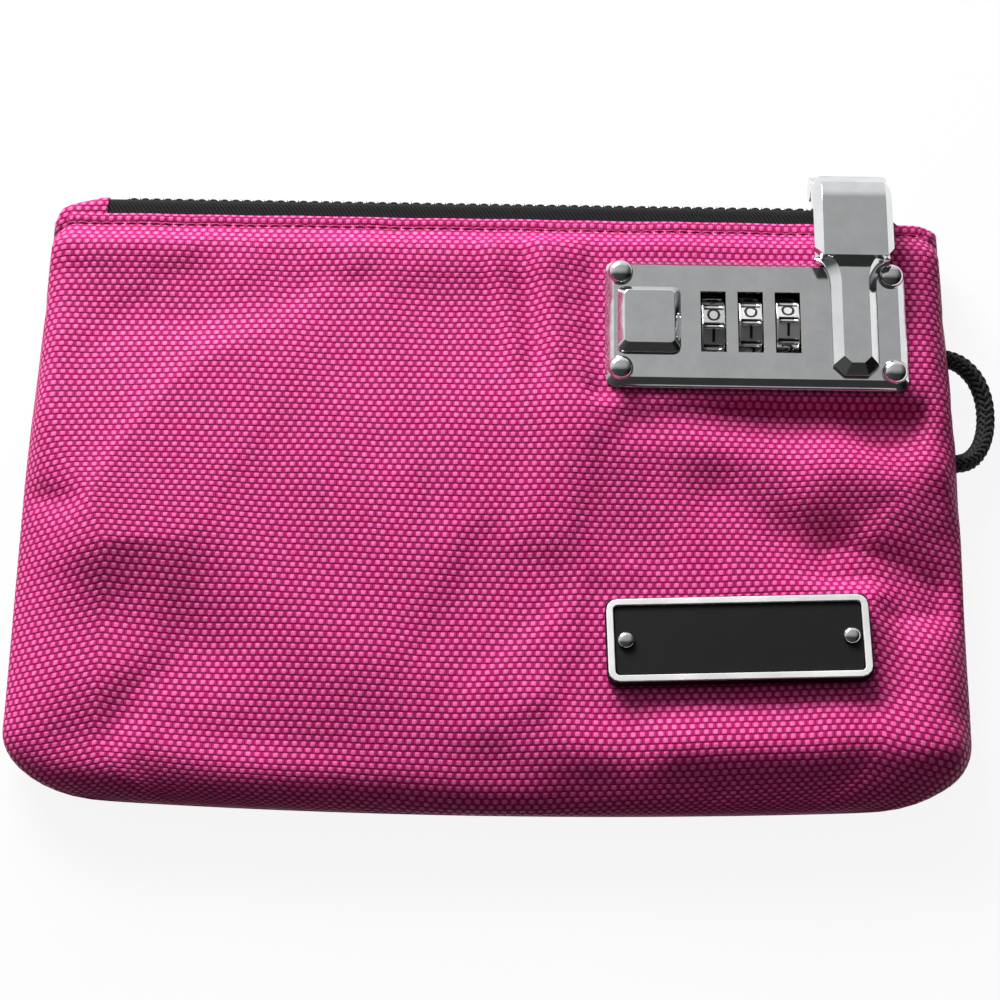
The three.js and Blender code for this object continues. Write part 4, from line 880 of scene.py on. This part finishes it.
def dial_numerals(k):
    low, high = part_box(f"dial_wheel_{k}")
    centre = (low + high) / 2 / MM
    centre.z = DIAL_AXIS_Z
    parts = []
    for digit in range(10):
        points, faces = numeral(str(digit))
        points[:, 0] *= NUMERAL_STRETCH
        angle = radians(DIAL_FACE * digit - DIAL_TURNS[k - 1])
        up = np.array((0, cos(angle), sin(angle)))
        out = np.array((0, -sin(angle), cos(angle)))
        at = points[:, :1] * (1, 0, 0) + points[:, 1:2] * up + (points[:, 2:] + DIAL_APOTHEM) * out
        parts.append((at + np.array(centre), faces))
    points, faces = merged(parts)
    obj = mesh_object(f"dial_figures_{k}", points, faces, black_enamel_and_shade, shade_smooth=False)
    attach(obj, f"dial_{k}")


def dial_bars(k, title, material, turn, radius):
    """A bar across the dial beside each edge between two faces."""
    low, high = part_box(f"dial_wheel_{k}")
    centre_y = (low + high).y / 2 / MM
    ends = (low.x / MM + BAR_INSET, high.x / MM - BAR_INSET)
    parts = []
    for digit in range(10):
        angle = radians(DIAL_FACE * (digit + 0.5) + turn - DIAL_TURNS[k - 1])
        y, z = centre_y - BAR_PLACE * sin(angle), DIAL_AXIS_Z + BAR_PLACE * cos(angle)
        parts.append(tube([(x, y, z) for x in np.linspace(*ends, 5)], radius, 10))
    points, faces = merged(parts)
    obj = mesh_object(f"dial_{title}_{k}", points, faces, material)
    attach(obj, f"dial_{k}")


# Beside each edge of a dial: a bright bar, and a black line that paints the shade beside it (turn
# in degrees, radius)
BRIGHT_BAR, SHADE_LINE = (4.6, 0.52), (-0.4, 0.47)
for k in (1, 2, 3):
    dial_bars(k, "bars", dial_metal, *BRIGHT_BAR)
    dial_bars(k, "shade_lines", black_enamel_and_shade, *SHADE_LINE)
    dial_numerals(k)


# Domed rivets, in millimetres: head radius and height, shank radius, far end's radius and height
LOCK_RIVET, LABEL_RIVET = (3.0, 2.0, 1.4, 2.3, 1.1), (1.95, 1.1, 0.9, 1.95, 0.8)
RIVET_SIDES, RIVET_FULL = 40, 0.85


def rivet(name, node, head_radius, head_height, shank_radius, end_radius, end_height):
    """A turned body: the far end, the shank, and a full round dome."""
    low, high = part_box(node)
    centre = (low + high) / 2 / MM
    base, bottom = high.z / MM - head_height, low.z / MM
    turns = np.linspace(0, pi / 2, 13)
    profile = [(0, bottom), (end_radius, bottom), (end_radius, bottom + end_height),
               (shank_radius, bottom + end_height), (shank_radius, base)]
    for a in turns[:-1]:
        profile.append((head_radius * cos(a) ** RIVET_FULL, base + head_height * sin(a)))
    profile.append((0, base + head_height))
    around = np.arange(RIVET_SIDES) * 2 * pi / RIVET_SIDES
    points = [(r * cos(a) + centre.x, r * sin(a) + centre.y, z) for r, z in profile for a in around]
    faces = [tuple(reversed(f)) for f in grid_faces(len(profile), RIVET_SIDES, closed=True)]
    obj = mesh_object(name, points, faces, chrome)
    weld = obj.modifiers.new("weld", "WELD")
    weld.merge_threshold = 0.01 * MM
    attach(obj, "pouch")
    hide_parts(node)


for k in (1, 2, 3, 4):
    rivet(f"rivet_lock_{k}", f"lock_rivet_{k}", *LOCK_RIVET)
for k in (1, 2):
    rivet(f"rivet_label_{k}", f"label_rivet_{k}", *LABEL_RIVET)


# The lock plate's lip, in millimetres: its radius, how far in and up its middle line lies from the
# plate's lower edge, and how much shorter than the plate it is at each end
LIP_RADIUS, LIP_IN, LIP_UP, LIP_SHORTER = 0.46, 0.42, 0.62, 3.2


def plate_lip():
    """The rounded lip along the lock plate's lower edge."""
    low, high = (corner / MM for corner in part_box("lock_plate"))
    along = np.linspace(low.x + LIP_SHORTER, high.x - LIP_SHORTER, 9)
    points, faces = tube([(x, low.y + LIP_IN, low.z + LIP_UP) for x in along], LIP_RADIUS, 12)
    obj = mesh_object("plate_lip", points, faces, chrome)
    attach(obj, "pouch")


plate_lip()


# Floor: its half size and height in millimetres, and how much of it glows where it is seen
FLOOR_HALF, FLOOR_LOW, FLOOR_GLOW = 2500, -0.3, 0.9
# Brightness of the surroundings by their direction, from -1 to 1: along Y from the camera's side to
# behind the pouch, and along X from left to right
AHEAD_LEVELS = [
    (-1, 0.04), (-0.14, 0.05), (0.08, 0.26), (0.34, 0.46), (0.66, 0.46), (0.84, 0.9), (1, 0.9),
]
ASIDE_LEVELS = [(-1, 1.0), (-0.5, 0.62), (0.0, 0.5), (0.5, 0.38), (0.8, 0.1), (1, 0.05)]
WORLD_STRENGTH = 2.0
# Key light: place, aim and size in metres, and its power in watts
KEY_PLACE, KEY_AIM = (-0.40, 0.92, 0.50), (0, 0, 0)
KEY_WIDTH, KEY_HEIGHT, KEY_POWER = 0.7, 0.4, 23


def make_stage():
    """A floor that shows white but throws little light back up."""
    s = Shader("floor", (0.86, 0.86, 0.86), 0.9)
    grain = s.noise(s.place(), 40.0, 3.0)
    rays = s.tree.nodes.new("ShaderNodeLightPath")
    seen = s.math("MAXIMUM", rays.outputs["Is Camera Ray"], rays.outputs["Is Glossy Ray"])
    pale = s.mix(grain, (0.84, 0.84, 0.84), (0.88, 0.88, 0.88))
    s.set(s.shader, "Base Color", s.mix(seen, (0.16, 0.16, 0.16), pale))
    glow = s.node("ShaderNodeEmission", inputs={"Color": (1, 1, 1, 1), "Strength": 1.0})
    share = s.math("MULTIPLY", seen, FLOOR_GLOW)
    both = s.node("ShaderNodeMixShader", inputs={0: share, 1: s.shader.outputs[0], 2: glow})
    s.set(s.tree.nodes["Material Output"], "Surface", both)
    half, low = FLOOR_HALF, FLOOR_LOW
    corners = [(-half, -half, low), (half, -half, low), (half, half, low), (-half, half, low)]
    mesh_object("floor", corners, [(0, 1, 2, 3)], s.material, shade_smooth=False)


def make_world():
    """Dark on the camera's side and at the right, bright behind and at the left."""
    world = bpy.data.worlds.new("surroundings")
    scene.world = world
    world.use_nodes = True
    tree = world.node_tree
    parts = tree.nodes.new("ShaderNodeSeparateXYZ")
    tree.links.new(tree.nodes.new("ShaderNodeTexCoord").outputs["Generated"], parts.inputs[0])

    def ramp(value, stops):
        share = tree.nodes.new("ShaderNodeMapRange")
        share.inputs["From Min"].default_value = -1
        tree.links.new(value, share.inputs["Value"])
        node = tree.nodes.new("ShaderNodeValToRGB")
        tree.links.new(share.outputs[0], node.inputs[0])
        elements = node.color_ramp.elements
        for at, level in stops[1:-1]:
            elements.new((at + 1) / 2).color = (level, level, level, 1)
        for element, (_, level) in ((elements[0], stops[0]), (elements[-1], stops[-1])):
            element.color = (level, level, level, 1)
        return node.outputs[0]

    def times(a, b):
        node = tree.nodes.new("ShaderNodeMath")
        node.operation = "MULTIPLY"
        for slot, value in enumerate((a, b)):
            if isinstance(value, float):
                node.inputs[slot].default_value = value
            else:
                tree.links.new(value, node.inputs[slot])
        return node.outputs[0]

    ahead = ramp(parts.outputs["Y"], AHEAD_LEVELS)
    aside = ramp(parts.outputs["X"], ASIDE_LEVELS)
    strength = times(times(ahead, aside), WORLD_STRENGTH)
    rays = tree.nodes.new("ShaderNodeLightPath")
    seen = tree.nodes.new("ShaderNodeMix")
    tree.links.new(rays.outputs["Is Camera Ray"], seen.inputs[0])
    tree.links.new(strength, seen.inputs[2])
    seen.inputs[3].default_value = 1.0
    back = tree.nodes["Background"]
    tree.links.new(seen.outputs[0], back.inputs["Strength"])
    back.inputs["Color"].default_value = (1, 1, 1, 1)


def area_light(name, place, aim, width, height, power):
    data = bpy.data.lights.new(name, "AREA")
    data.shape, data.size, data.size_y, data.energy = "RECTANGLE", width, height, power
    light = bpy.data.objects.new(name, data)
    scene.collection.objects.link(light)
    light.location = place
    light.rotation_mode = "QUATERNION"
    light.rotation_quaternion = (Vector(aim) - Vector(place)).to_track_quat("-Z", "Y")


make_stage()
make_world()
area_light("key", KEY_PLACE, KEY_AIM, KEY_WIDTH, KEY_HEIGHT, KEY_POWER)
scene.view_settings.view_transform = "Standard"
